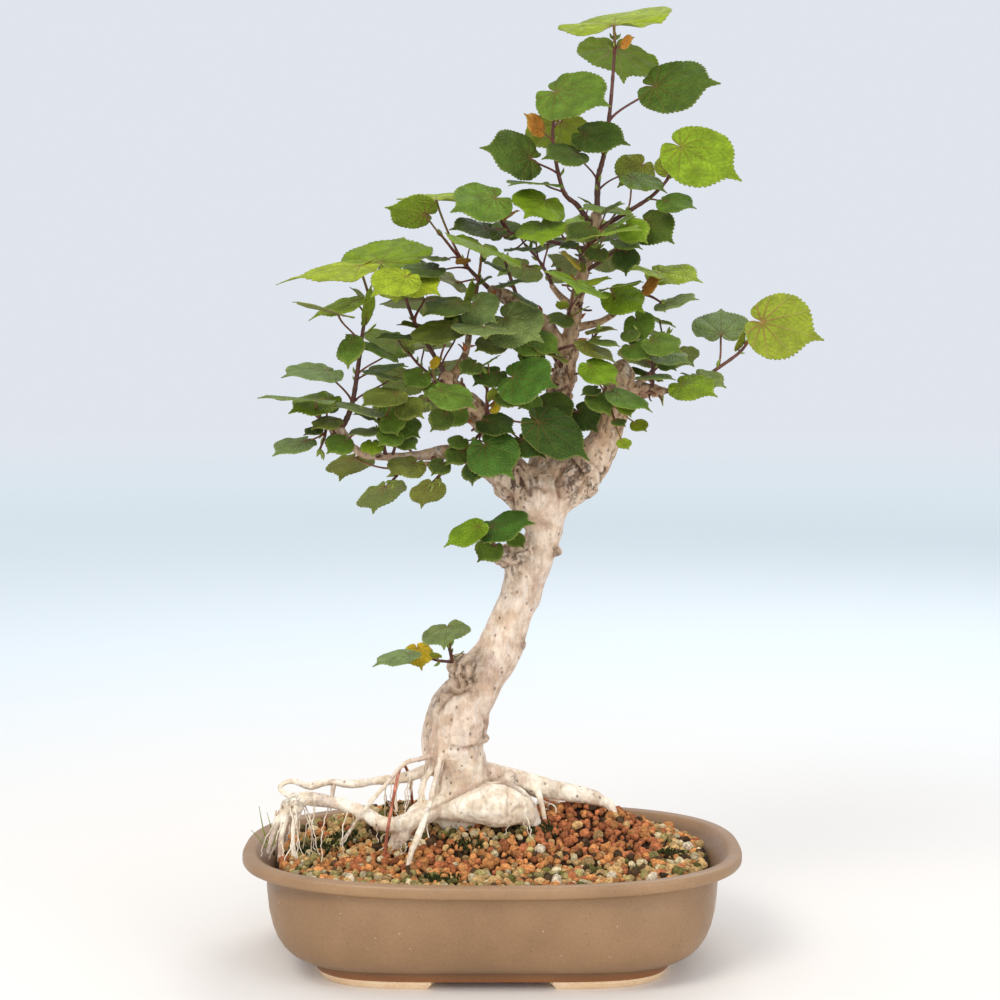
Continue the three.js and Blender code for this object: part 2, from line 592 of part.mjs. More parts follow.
// Shoots: twigs as across, down and depth, and the leaves they carry.
const SHOOTS = {
  apex_shoot: {
    twigs: [[[597, 217, 8], [598, 180, 6], [602, 163, 5], [606, 145, 4], [611, 100, 2], [614, 60, 0],
      [615, 40, 0]]],
    leaves: [
      leaf([614, 25], [616, 2], 62, FAR, -8, { depth: 2, width: 1.2 }),
      leaf([616, 47], [625, 77], 50, FAR, 12, { depth: 5, width: 1.1 }),
      leaf([655, 86], [722, 82], 46, NEAR, 54),
      leaf([585, 134], [632, 143], 33, NEAR, 42),
      leaf([577, 153], [542, 155], 28, NEAR, 35, { depth: -22 }),
      leaf([642, 165], [618, 186], 28, NEAR, 50, { depth: 16 }),
      leaf([623, 44], [634, 36], 10, NEAR, 70),
    ],
  },
  apex_left_shoot: {
    twigs: [[[594, 230, 8], [578, 206, 2], [563, 190, -4], [553, 140, -8], [556, 98, -8]]],
    leaves: [
      leaf([556, 92], [611, 104], 46, NEAR, 45),
      leaf([560, 122], [560, 156], 46, FAR, 0, { depth: 22 }),
      leaf([530, 158], [483, 144], 37, NEAR, 66),
      leaf([541, 130], [524, 112], 17, NEAR, 70),
      leaf([545, 184], [508, 179], 34, NEAR, 8, { width: 1.1 }),
      leaf([590, 203], [578, 195], 12, NEAR, 20),
    ],
  },
  apex_right_shoot: {
    twigs: [[[594, 232, 8], [616, 219, 2], [634, 208, -4], [652, 196, -8], [667, 180, -10], [674, 164, -10]]],
    leaves: [
      leaf([681, 147], [743, 178], 46, NEAR, 54, { depth: -12 }),
      leaf([667, 172], [660, 152], 14, NEAR, 30),
      leaf([632, 178], [669, 189], 28, NEAR, 20),
      leaf([666, 201], [697, 207], 23, NEAR, 35),
      leaf([646, 222], [674, 241], 28, NEAR, 50),
    ],
  },
  crown_left_shoot: {
    twigs: [[[589, 250, 7], [562, 244, -2], [535, 238, -8], [510, 232, -12], [498, 216, -12]]],
    leaves: [
      leaf([495, 198], [450, 211], 38, NEAR, 40, { depth: -12 }),
      leaf([486, 228], [449, 225], 28, NEAR, 30),
      leaf([503, 236], [505, 214], 26, FAR, 0),
      leaf([506, 217], [520, 209], 12, NEAR, 30),
      leaf([545, 200], [525, 216], 36, NEAR, 30),
      leaf([514, 249], [541, 248], 22, NEAR, 8),
      leaf([541, 224], [541, 242], 34, NEAR, 8, { depth: -6 }),
    ],
  },
  crown_front_shoot: {
    twigs: [[[586, 262, 6], [580, 256, -12], [588, 246, -24], [600, 236, -32]]],
    leaves: [
      leaf([618, 210], [579, 204], 31, NEAR, 15, { depth: 25 }),
      leaf([606, 210], [624, 201], 15, NEAR, 30),
      leaf([596, 236], [641, 222], 38, NEAR, 12, { depth: -32 }),
      leaf([612, 226], [636, 213], 21, NEAR, 30),
      leaf([588, 228], [564, 240], 21, NEAR, 35),
      leaf([574, 243], [558, 247], 12, NEAR, 20),
      leaf([576, 264], [560, 249], 17, NEAR, 40),
      leaf([583, 270], [582, 258], 9, NEAR, 0, { width: 0.5 }),
    ],
  },
  crown_right_shoot: {
    twigs: [[[584, 272, 6], [600, 262, 2], [618, 248, -4], [634, 236, -8]]],
    leaves: [
      leaf([628, 226], [648, 242], 21, NEAR, 45),
      leaf([618, 241], [644, 248], 19, NEAR, 20),
      leaf([626, 252], [626, 276], 19, NEAR, 0),
      leaf([600, 250], [588, 262], 16, NEAR, 30, { depth: -2 }),
    ],
  },
  upper_right_shoot: {
    twigs: [
      [[612, 316, -8], [625, 303, -12], [645, 290, -16], [657, 278, -18]],
      [[640, 293, -15], [652, 297, -18], [662, 303, -20]],
    ],
    leaves: [
      leaf([611, 288], [644, 279], 27, NEAR, 8, { depth: -12 }),
      leaf([614, 294], [646, 312], 28, NEAR, 38),
      leaf([659, 272], [704, 277], 33, NEAR, 25, { depth: 8 }),
      leaf([657, 273], [629, 266], 23, NEAR, 20, { depth: -12 }),
      leaf([646, 288], [662, 275], 15, NEAR, 60, { depth: -14 }),
      leaf([665, 303], [699, 296], 27, NEAR, 25),
    ],
  },
  upper_left_top_shoot: {
    twigs: [[[491, 290, -14], [474, 274, -12], [458, 256, -10], [442, 236, -10]]],
    leaves: [
      leaf([425, 214], [383, 203], 29, NEAR, -38, { width: 1.1 }),
      leaf([436, 200], [436, 191], 46, FAR, 0, { depth: -14, width: 1.1 }),
      leaf([455, 281], [416, 263], 36, NEAR, 30, { depth: 13 }),
      leaf([472, 239], [455, 236], 14, NEAR, 20),
      leaf([466, 262], [455, 258], 10, NEAR, 20),
      leaf([434, 268], [398, 272], 27, NEAR, 20, { depth: -34 }),
      leaf([441, 258], [416, 256], 20, NEAR, 10, { depth: -20 }),
    ],
  },
  diagonal_leaf_shoot: {
    twigs: [[[469, 338, -10], [471, 318, -16], [477, 290, -22], [481, 262, -26]]],
    leaves: [
      leaf([483, 246], [487, 254], 52, NEAR, -22),
      leaf([468, 300], [473, 276], 17, NEAR, 20, { depth: 2, width: 0.5 }),
      leaf([480, 282], [492, 276], 12, NEAR, 30),
      leaf([474, 304], [496, 322], 27, NEAR, 50, { depth: -2 }),
      leaf([458, 303], [422, 312], 29, NEAR, 20, { depth: -28 }),
      leaf([466, 318], [441, 322], 20, NEAR, 20, { depth: -2 }),
      leaf([484, 327], [486, 334], 42, NEAR, -5, { depth: -24 }),
    ],
  },
  crown_centre_shoot: {
    twigs: [[[520, 305, -9], [514, 288, -16], [508, 270, -20], [505, 260, -22]]],
    leaves: [
      leaf([503, 284], [529, 279], 20, NEAR, 15),
      leaf([500, 268], [484, 262], 18, NEAR, 25, { depth: -5 }),
      leaf([519, 298], [540, 304], 20, FAR, 30, { depth: -39 }),
    ],
  },
  slanting_leaf_shoot: {
    twigs: [[[571, 330, 4], [569, 314, -10], [573, 296, -18]]],
    leaves: [
      leaf([576, 281], [580, 289], 43, NEAR, -23, { depth: -12 }),
      leaf([565, 307], [556, 300], 9, NEAR, 20),
      leaf([580, 311], [589, 305], 9, NEAR, 20),
      leaf([584, 284], [612, 276], 22, NEAR, 20, { depth: 8 }),
      leaf([566, 318], [548, 322], 18, NEAR, 30),
    ],
  },
  left_upper_shoot: {
    twigs: [[[338, 431, -27], [344, 424, -28], [350, 411, -28], [354, 395, -28], [358, 368, -28],
      [361, 345, -28], [364, 325, -28], [371, 302, -28], [378, 284, -28]]],
    leaves: [
      leaf([380, 263], [403, 231], 48, FAR, 0, { depth: 39, width: 1.3 }),
      leaf([360, 266], [273, 281], 60, NEAR, 9, { width: 0.8 }),
      leaf([338, 314], [293, 297], 36, NEAR, 8, { depth: -39 }),
      leaf([356, 301], [306, 316], 34, NEAR, 10, { depth: 2 }),
      leaf([368, 305], [352, 284], 18, NEAR, 40, { depth: 13 }),
      leaf([366, 318], [370, 280], 26, NEAR, 30, { depth: -13, width: 0.4 }),
      leaf([352, 342], [346, 368], 20, NEAR, 10, { depth: -17 }),
      leaf([388, 354], [364, 346], 25, NEAR, 30),
      leaf([374, 369], [409, 364], 27, NEAR, 15, { depth: 3 }),
      leaf([393, 377], [361, 372], 25, NEAR, 10),
      leaf([327, 371], [281, 372], 36, NEAR, 18),
      leaf([355, 339], [345, 333], 9, NEAR, 20),
      leaf([368, 332], [376, 322], 9, NEAR, 20),
    ],
  },
  left_middle_shoot: {
    twigs: [[[446, 376, -20], [432, 352, -20], [417, 327, -20], [407, 302, -30], [406, 288, -34]]],
    leaves: [
      leaf([406, 277], [370, 292], 31, NEAR, 30, { depth: -32 }),
      leaf([408, 279], [441, 292], 29, NEAR, 30),
      leaf([395, 288], [396, 300], 22, NEAR, 0),
      leaf([425, 299], [423, 307], 58, FAR, 0, { depth: 22 }),
      leaf([432, 328], [396, 322], 27, NEAR, 15, { depth: 13 }),
      leaf([412, 337], [374, 334], 28, NEAR, 10),
      leaf([452, 326], [406, 344], 37, NEAR, 15),
      leaf([456, 336], [427, 349], 27, FAR, 15, { depth: 12 }),
    ],
  },
  left_end_shoot: {
    twigs: [
      [[334, 427, -27], [322, 420, -30], [312, 412, -32]],
      [[326, 422, -29], [325, 436, -33], [320, 449, -35]],
    ],
    leaves: [
      leaf([316, 400], [257, 393], 42, NEAR, 2, { depth: -17 }),
      leaf([328, 399], [287, 410], 31, NEAR, 20, { depth: -2 }),
      leaf([330, 405], [303, 410], 21, NEAR, 20, { depth: 2 }),
      leaf([334, 420], [310, 427], 20, NEAR, 15),
      leaf([318, 429], [303, 434], 12, NEAR, 20),
      leaf([304, 441], [271, 453], 27, NEAR, 12),
      leaf([345, 441], [326, 453], 19, NEAR, 35),
    ],
  },
  left_low_shoot: {
    twigs: [
      [[386, 457, -21], [383, 442, -26], [380, 427, -28], [377, 412, -29]],
      [[392, 457, -21], [397, 440, -26], [400, 424, -28]],
    ],
    leaves: [
      leaf([371, 410], [331, 402], 31, NEAR, 15),
      leaf([395, 394], [359, 403], 28, NEAR, 20, { depth: -27 }),
      leaf([369, 417], [353, 412], 13, NEAR, 20, { depth: -12 }),
      leaf([372, 443], [372, 456], 15, NEAR, 0),
      leaf([373, 430], [346, 435], 21, NEAR, 8),
      leaf([385, 404], [398, 422], 19, NEAR, 50, { depth: -2 }),
      leaf([403, 404], [424, 417], 20, NEAR, 40),
      leaf([390, 418], [398, 436], 18, NEAR, 30, { depth: -12 }),
      leaf([397, 423], [421, 438], 23, NEAR, 35),
      leaf([395, 433], [378, 445], 18, NEAR, 35),
      leaf([402, 439], [417, 449], 15, NEAR, 30),
    ],
  },
  left_hanging_shoot: {
    twigs: [[[401, 459, -20], [402, 466, -24], [398, 474, -28], [392, 481, -30]]],
    leaves: [
      leaf([385, 487], [371, 510], 34, FAR, 10),
      leaf([414, 463], [388, 475], 25, NEAR, 25),
      leaf([355, 458], [338, 476], 30, FAR, 0, { width: 1.1 }),
    ],
  },
  dead_twig_shoot: {
    twigs: [[[443, 471, -29], [438, 477, -31], [433, 482, -32]]],
    leaves: [
      leaf([431, 485], [420, 507], 24, FAR, 5),
      leaf([443, 463], [431, 475], 15, NEAR, 30),
    ],
  },
  inner_left_shoot: {
    twigs: [[[446, 377, -20], [438, 384, -26], [432, 392, -30], [428, 402, -32]]],
    leaves: [
      leaf([441, 387], [422, 397], 17, NEAR, 25, { depth: 3 }),
      leaf([441, 391], [478, 408], 28, NEAR, 26, { depth: -34 }),
      leaf([422, 374], [404, 387], 19, NEAR, 35),
      leaf([446, 414], [430, 431], 17, NEAR, 42),
      leaf([432, 364], [442, 358], 9, NEAR, 65),
      leaf([460, 411], [446, 429], 16, NEAR, 40, { depth: -12 }),
    ],
  },
  centre_shoot: {
    twigs: [[[486, 427, -15], [487, 412, -30], [487, 395, -36], [488, 376, -38]]],
    leaves: [
      leaf([513, 377], [556, 384], 37, NEAR, 52),
      leaf([538, 422], [594, 457], 41, NEAR, 38, { depth: -34 }),
      leaf([485, 445], [513, 477], 35, NEAR, 40, { depth: -37 }),
      leaf([487, 421], [516, 431], 24, NEAR, 30, { depth: -12 }),
      leaf([503, 395], [524, 406], 18, NEAR, 30),
      leaf([497, 373], [472, 384], 22, NEAR, 30),
      leaf([475, 364], [459, 374], 16, NEAR, 30),
      leaf([488, 362], [497, 356], 14, NEAR, 30),
      leaf([493, 407], [505, 400], 12, NEAR, 65),
      leaf([522, 440], [546, 456], 23, NEAR, 35, { depth: -22 }),
      leaf([492, 398], [493, 385], 9, NEAR, 30),
    ],
  },
  centre_right_shoot: {
    twigs: [[[556, 412, 4], [550, 410, -12], [546, 408, -20]]],
    leaves: [
      leaf([542, 404], [576, 420], 29, NEAR, 40, { depth: 3 }),
      leaf([578, 411], [598, 432], 23, NEAR, 45, { depth: -13 }),
      leaf([552, 438], [574, 452], 18, NEAR, 30, { depth: -27 }),
      leaf([534, 398], [518, 408], 18, NEAR, 40),
    ],
  },
  centre_low_shoot: {
    twigs: [[[486, 428, -16], [478, 436, -26], [470, 446, -30]]],
    leaves: [
      leaf([476, 464], [471, 485], 18, NEAR, 10),
      leaf([461, 452], [445, 464], 16, NEAR, 35),
      leaf([462, 440], [448, 448], 14, NEAR, 30),
    ],
  },
  leader_shoot: {
    twigs: [
      [[565, 372, 5], [550, 352, -12], [534, 341, -18], [524, 336, -20]],
      [[551, 353, -12], [566, 347, -19], [588, 342, -20], [598, 332, -22]],
    ],
    leaves: [
      leaf([524, 338], [563, 352], 30, NEAR, 30, { depth: 0 }),
      leaf([505, 318], [544, 342], 37, NEAR, 45),
      leaf([498, 342], [474, 350], 21, NEAR, 30),
      leaf([536, 352], [520, 366], 18, NEAR, 30, { depth: 8 }),
      leaf([584, 345], [620, 362], 26, NEAR, 12, { depth: -12 }),
      leaf([592, 331], [618, 326], 18, NEAR, 15),
      leaf([596, 341], [622, 345], 18, NEAR, 10),
      leaf([560, 358], [526, 342], 24, NEAR, 10, { depth: -27 }),
    ],
  },
  right_tip_shoot: {
    twigs: [[[665, 391, -11], [688, 390, -14], [700, 382, -15], [714, 371, -16], [740, 352, -18],
      [753, 334, -18]]],
    leaves: [
      leaf([762, 322], [824, 338], 42, FAR, -72, { depth: -8, width: 1.05 }),
      leaf([721, 334], [721, 303], 38, FAR, 0),
      leaf([738, 347], [744, 328], 14, NEAR, 22, { width: 0.6 }),
      leaf([696, 378], [680, 372], 14, NEAR, 20, { depth: 25 }),
      leaf([700, 375], [728, 385], 21, NEAR, 25),
      leaf([682, 384], [718, 394], 30, NEAR, 30, { depth: -27 }),
    ],
  },
  right_middle_shoot: {
    twigs: [[[651, 391, -10], [653, 376, -14], [652, 360, -16], [646, 345, -17], [638, 332, -18]]],
    leaves: [
      leaf([653, 341], [683, 352], 25, NEAR, 30, { depth: -12 }),
      leaf([658, 353], [692, 361], 26, NEAR, 20),
      leaf([636, 319], [646, 342], 22, NEAR, 40, { depth: -2 }),
      leaf([631, 346], [652, 360], 20, NEAR, 35),
      leaf([627, 333], [639, 341], 13, NEAR, 30),
      leaf([664, 362], [677, 370], 13, NEAR, 30),
      leaf([645, 377], [676, 375], 23, NEAR, 8),
    ],
  },
  right_limb_shoot: {
    twigs: [[[614, 408, -8], [612, 404, -22], [606, 398, -26], [606, 386, -28]]],
    leaves: [
      leaf([590, 366], [619, 384], 25, NEAR, 28),
      leaf([594, 397], [613, 415], 19, NEAR, 22),
      leaf([617, 394], [654, 410], 28, NEAR, 12, { depth: -27 }),
      leaf([625, 402], [631, 417], 13, NEAR, 20, { depth: -30 }),
      leaf([616, 421], [626, 425], 10, NEAR, 20, { depth: -32 }),
      leaf([636, 423], [647, 431], 12, NEAR, 30, { depth: -22 }),
      leaf([622, 441], [629, 449], 10, NEAR, 20, { depth: -36 }),
      leaf([596, 389], [580, 394], 12, NEAR, 30),
    ],
  },
  trunk_shoot: {
    twigs: [[[502, 552, -2], [496, 546, -14], [489, 540, -18], [484, 532, -20]]],
    leaves: [
      leaf([492, 527], [535, 521], 34, NEAR, 35),
      leaf([478, 527], [442, 546], 26, NEAR, 25, { depth: -22 }),
      leaf([494, 545], [477, 562], 19, NEAR, 40),
      leaf([480, 538], [475, 532], 8, NEAR, 20),
      leaf([512, 536], [525, 548], 13, NEAR, 30),
    ],
  },
  low_trunk_shoot: {
    twigs: [
      [[455, 668, -4], [452, 660, -14], [449, 648, -18]],
      [[453, 662, -12], [436, 660, -18], [418, 654, -20]],
    ],
    leaves: [
      leaf([447, 627], [443, 646], 32, NEAR, 10),
      leaf([409, 654], [371, 663], 28, NEAR, 6, { depth: -17 }),
      leaf([417, 648], [422, 669], 20, NEAR, 10),
      leaf([438, 657], [430, 651], 8, NEAR, 20),
      leaf([456, 657], [464, 650], 9, NEAR, 20),
    ],
  },
  back_shoot: {
    twigs: [[[553, 288, 48], [548, 276, 56], [540, 262, 62], [530, 250, 66]]],
    leaves: [
      leaf([520, 236], [500, 228], 34, FAR, -20, { depth: -8 }),
      leaf([548, 244], [572, 238], 36, FAR, -20),
      leaf([560, 270], [592, 272], 34, FAR, -25, { depth: 12 }),
      leaf([526, 266], [498, 272], 36, FAR, -25),
      leaf([536, 236], [538, 216], 30, FAR, 0),
    ],
  },
  back_upper_shoot: {
    twigs: [[[570, 304, 22], [578, 286, 34], [588, 266, 42], [596, 248, 46]]],
    leaves: [
      leaf([606, 232], [636, 232], 34, FAR, -20, { depth: 2 }),
      leaf([592, 230], [580, 208], 32, FAR, 0),
      leaf([606, 258], [632, 262], 30, FAR, -30),
      leaf([576, 262], [552, 262], 30, FAR, -25),
    ],
  },
  back_left_shoot: {
    twigs: [[[447, 389, 41], [434, 378, 50], [420, 366, 56], [408, 352, 60]]],
    leaves: [
      leaf([398, 340], [370, 348], 36, FAR, -30, { depth: 2 }),
      leaf([424, 348], [440, 334], 32, FAR, 0),
      leaf([410, 376], [380, 388], 34, FAR, -30),
      leaf([444, 366], [468, 366], 30, FAR, -25),
      leaf([428, 396], [452, 406], 30, FAR, -30),
    ],
  },
  back_right_shoot: {
    twigs: [[[645, 379, 47], [656, 366, 54], [664, 350, 58], [668, 334, 60]]],
    leaves: [
      leaf([662, 334], [640, 330], 30, FAR, -20),
      leaf([660, 320], [640, 312], 32, FAR, -20),
      leaf([676, 354], [694, 364], 26, FAR, -30),
      leaf([646, 356], [622, 360], 30, FAR, -25),
      leaf([652, 378], [634, 364], 24, FAR, -10),
    ],
  },
};

// The largest piece of a body that a cut may have left in several.
function mainPiece(body) {
  const pieces = body.decompose();
  return pieces.reduce((best, piece) => (piece.volume() > best.volume() ? piece : best));
}

function toMesh(name, body, colour, roughness, metalness = 0) {
  const { vertProperties, triVerts } = mainPiece(body.asOriginal().simplify(SIMPLIFY)).getMesh();
  const geometry = new THREE.BufferGeometry();
  geometry.setAttribute('position', new THREE.Float32BufferAttribute(vertProperties, 3));
  geometry.setIndex(Array.from(triVerts));
  const material = new THREE.MeshStandardMaterial({ color: colour, roughness, metalness });
  const mesh = new THREE.Mesh(geometry, material);
  mesh.name = name;
  return mesh;
}

const tree = makeTree();
const treeRoom = makeTree(SEAT);
const pot = makePot();
const screens = [-DRAIN.offset, DRAIN.offset].map(makeScreen);
const screenRoom = [-DRAIN.offset, DRAIN.offset].map((x) => box(
  SCREEN.side + 2 * SEAT, SCREEN.side + 2 * SEAT, SCREEN.thickness + 3 * SEAT, x, 0,
  FLOOR_TOP + SEAT + SCREEN.thickness / 2,
));
const soil = makeSoil()
  .subtract(treeRoom)
  .subtract(makeWire(SEAT))
  .subtract(join(screenRoom));

const group = new THREE.Group();
group.add(toMesh('pot', pot, COLOURS.pot, 0.45));
group.add(toMesh('soil', soil, COLOURS.soil, 0.95));
group.add(toMesh('tree', tree, COLOURS.bark, 0.85));
group.add(toMesh('tie_wire', makeWire(), COLOURS.copper, 0.35, 0.9));
group.add(toMesh('drain_screen_left', screens[0], COLOURS.screen, 0.7));
group.add(toMesh('drain_screen_right', screens[1], COLOURS.screen, 0.7));
for (const [name, shoot] of Object.entries(SHOOTS)) {
  const body = makeShoot(shoot).subtract(treeRoom);
  group.add(toMesh(name, body, COLOURS.leaf, 0.5));
}

// The origin is the middle of the whole plant's footprint, on the table.
const bounds = new THREE.Box3().setFromObject(group);
group.position.set(-(bounds.min.x + bounds.max.x) / 2, -(bounds.min.y + bounds.max.y) / 2, -bounds.min.z);

export default group;
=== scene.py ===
"""Looks of a potted sea hibiscus bonsai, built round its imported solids.

Places on the plant are picture points with a depth, as in the part: across and down in a square picture
of 1000 by 1000 points, and the depth behind the pot's middle in millimetres.
"""

import math
import random
from dataclasses import dataclass

import bpy
import numpy as np
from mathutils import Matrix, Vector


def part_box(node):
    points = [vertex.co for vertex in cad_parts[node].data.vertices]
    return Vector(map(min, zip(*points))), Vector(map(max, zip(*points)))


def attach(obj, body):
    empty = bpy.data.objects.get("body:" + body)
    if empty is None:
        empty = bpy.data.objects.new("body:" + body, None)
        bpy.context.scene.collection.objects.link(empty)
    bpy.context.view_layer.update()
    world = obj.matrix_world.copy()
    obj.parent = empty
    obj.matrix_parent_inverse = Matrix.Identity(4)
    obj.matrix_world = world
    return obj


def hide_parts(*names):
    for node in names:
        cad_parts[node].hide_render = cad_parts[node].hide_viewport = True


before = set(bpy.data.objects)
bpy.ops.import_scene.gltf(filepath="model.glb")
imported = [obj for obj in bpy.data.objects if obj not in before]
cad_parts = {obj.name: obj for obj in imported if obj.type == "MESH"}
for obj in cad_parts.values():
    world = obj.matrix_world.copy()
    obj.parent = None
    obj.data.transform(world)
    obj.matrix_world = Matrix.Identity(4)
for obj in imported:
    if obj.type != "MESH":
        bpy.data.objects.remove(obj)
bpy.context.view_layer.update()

MM = 0.001

# Middle of the pot's footprint in the part's frame, in millimetres
lows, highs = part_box("pot")
MIDDLE = np.array([(lows[0] + highs[0]) / 2, (lows[1] + highs[1]) / 2, 0]) / MM

# The view, in millimetres from the middle of the pot's footprint
EYE = np.array([5.0, -1292.0, 390.0])
EYE_PITCH = 0.072
PICTURE_SIZE = 1000
PICTURE_MIDDLE = PICTURE_SIZE / 2
PICTURE_FOCUS = 2000
SENSOR = 36

# Large numbers that scatter the values of the noise
LATTICE = {"steps": (374761393, 668265263, 1440662683), "seed_step": 974711, "scatter": 1274126177}

# Room: the air's colour and strength, and the floor's radius and colours from the pot outwards in metres
AIR = (229, 234, 243)
AIR_STRENGTH = 0.95
FLOOR_RADIUS = 9
FLOOR_NEAR = (238, 233, 226)
# The near-white and white rings far out are painted light, as pale as the air where the lamps hardly reach
# the floor
FLOOR_RINGS = [(0.3, 1.6, (232, 240, 242)), (1.8, 5.0, (246, 254, 253)), (4.0, 8.5, (255, 255, 255))]

# Pot: height, half width and half depth of its levels, from the underside up and over the rim
RIM = {"half_width": 162, "half_depth": 114}
OVAL_POWER = 2.6
LOW_OVAL = {"power": 4.7, "low": 12, "high": 63}
FLOOR_TOP = 16
FOOT_HEIGHT = 5
POT_SIDES = 160
POT_BAND = [(5, 112.6, 84.8), (5.3, 113.6, 85.6), (6.2, 114.2, 86), (11, 115, 86.5), (11.6, 115.9, 87.2)]
POT_BODY = [
    (12, 119, 89.4), (12.3, 121, 91), (14, 125, 93.4), (17, 130, 97), (21, 134.4, 99.6),
    (26, 138, 101.8), (32, 140.9, 103.5), (40, 143.4, 105.2), (49, 145.1, 106.5), (56, 146.1, 107.4),
    (60, 147, 108), (62, 148.6, 108.9), (63.3, 152, 110.2), (63.9, 156, 111.6),
]
POT_RIM = [
    (64.2, 159.2, 112.8), (65, 161, 113.6), (66.2, 161.9, 113.95), (68, 162, 114), (70, 161.9, 113.95),
    (71.2, 161.3, 113.5), (71.9, 160.2, 112.5), (72, 158.5, 111), (71.9, 155.2, 107.6),
    (71.5, 153.8, 106), (70.6, 152.9, 105),
]
POT_INSIDE = [(66, 149, 103.6), (60, 140.4, 101.2), (36, 135, 97.5), (19, 119, 87), (FLOOR_TOP, 112, 81)]
DRAIN = {"radius": 9, "offset": 46, "sides": 40}

# Feet: each level's height and how far it is drawn in from the foot's outside
FOOT = {"width": 113, "depth": 85, "wall": 18, "front_gap": 37, "side_gap": 24}
FOOT_LEVELS = [(0.0, 2.6), (0.5, 2.0), (3.5, 0.4), (FOOT_HEIGHT + 1.5, 0.0)]
FOOT_STEPS = 26
FOOT_END_TAPER = 1.4

# Share of the glaze's colour on each part of the pot, and how many levels the narrow ones take; the bottom
# edge, step, rim and inside carry painted light and shade
# Orange bottom edge: painted bounce light from the floor
BOUNCE_LIT_EDGE_TINT, BOUNCE_LIT_EDGE_LEVELS = (0.95, 0.62, 0.4), 3
BAND_TINT = (0.66, 0.62, 0.58)
# Darker step under the body: painted shade
SHADED_STEP_TINT, STEP_LEVELS = (0.86, 0.84, 0.82), 3
BODY_TINT = (1, 1, 1)
# Lighter rim: painted light on its top
LIT_RIM_TINT = (1.12, 1.12, 1.12)
# Darker inside: painted shade
SHADED_INSIDE_TINT = (0.78, 0.76, 0.74)

# Soil: its level at the wall, and on it the heaps' places, heights and spreads
SOIL_EDGE = 65.5
SOIL_WALL = (141.2, 101.2)
HEAPS = [(0, 12, 24, 76, 56), (72, 22, 17, 36, 32), (-72, 44, 13, 52, 34)]

# Bed below the loose grains: levels of its wall, rings of its top as shares of the wall, and its clearances
BED_SIDES = 96
BED_FLOOR = 16.4
BED_WALL = [(BED_FLOOR, 111, 80), (19.2, 118, 86), (36, 134.2, 96.8), (60, 139.4, 100.3)]
BED_RINGS = (1.0, 0.93, 0.84, 0.74, 0.63, 0.52, 0.41, 0.3, 0.2, 0.1)
BED_GAP = 0.6
BED_DEPTH = 2.2
# Dark, as painted shade in the gaps between the grains
BED_SHADE_TONE = (62, 42, 30)

# Grains: pitch along and across the rows, how far they stray, and their radii
GRAIN_PITCH = 5.3
GRAIN_ROW = 0.87
GRAIN_STRAY = 0.34
GRAIN_LIFT = (-1.0, 1.1)
GRAIN_SUNK = 0.4
GRAIN_RADIUS = {"middle": 2.85, "spread": 0.24, "largest": 4.6}
GRAIN_SHADES = (0.5, 1.2)
GRAIN_TONES = {
    "orange": (226, 154, 92), "red": (196, 120, 77), "tan": (214, 174, 116), "pale": (232, 212, 166),
    "olive": (186, 168, 106), "moss": (118, 112, 60), "dark": (90, 68, 46),
}
CRUMBLY = ("orange", "red", "dark")
# What the grains are mixed from in each part of the pot, in parts of 100
MIXES = {
    "plain": {"orange": 20, "red": 8, "tan": 26, "pale": 12, "olive": 16, "moss": 8, "dark": 10},
    "red_heap": {"orange": 26, "red": 60, "tan": 4, "dark": 10},
    "red_band": {"orange": 50, "red": 22, "tan": 14, "pale": 4, "olive": 3, "dark": 7},
    "pale_left": {"orange": 20, "red": 5, "tan": 32, "pale": 17, "olive": 16, "moss": 5, "dark": 5},
}
# Ovals of red grains: middle and half sizes
RED_HEAP = (66, 2, 44, 44)
RED_BAND = (-30, -46, 84, 23)
# Left of this the grains are pale, and in front left of the other place
PALE_LEFT = -30
PALE_FRONT = (20, -20)
# Large pale stones: across, down, depth and radius
STONES = [
    (556, 872, -88, 5.2), (652, 868, -78, 4.6), (688, 838, -3, 4.2), (350, 868, -78, 3.8),
    (612, 866, -73, 3.6), (540, 852, -38, 3.6),
]
STONE_TONE = (228, 210, 180)

# Moss cushions: across, down, depth, spread and tufts
MOSS = [
    (320, 822, -8, 9, 220), (345, 818, 4, 6, 110), (538, 824, -14, 6, 130), (470, 838, -34, 5, 50),
    (596, 812, 48, 6, 60), (440, 872, -78, 5, 70), (400, 820, 30, 6, 80), (672, 846, -20, 5, 60),
]
MOSS_TONES = [(48, 54, 24), (66, 70, 32), (54, 58, 28), (82, 82, 40)]
MOSS_RADII = [0.9, 0.7, 0.25]
# Grass blades at the left rim: steps and width
GRASS = [
    ([(268, 848, -10), (263, 828, -11), (259, 806, -12)], 0.7),
    ([(270, 848, -8), (271, 830, -9), (267, 812, -11)], 0.6),
    ([(273, 846, -14), (278, 832, -16), (283, 822, -18)], 0.5),
    ([(266, 848, -12), (257, 836, -14), (251, 830, -16)], 0.5),
]
GRASS_TONE = (150, 164, 76)
GRASS_TIP = 0.15

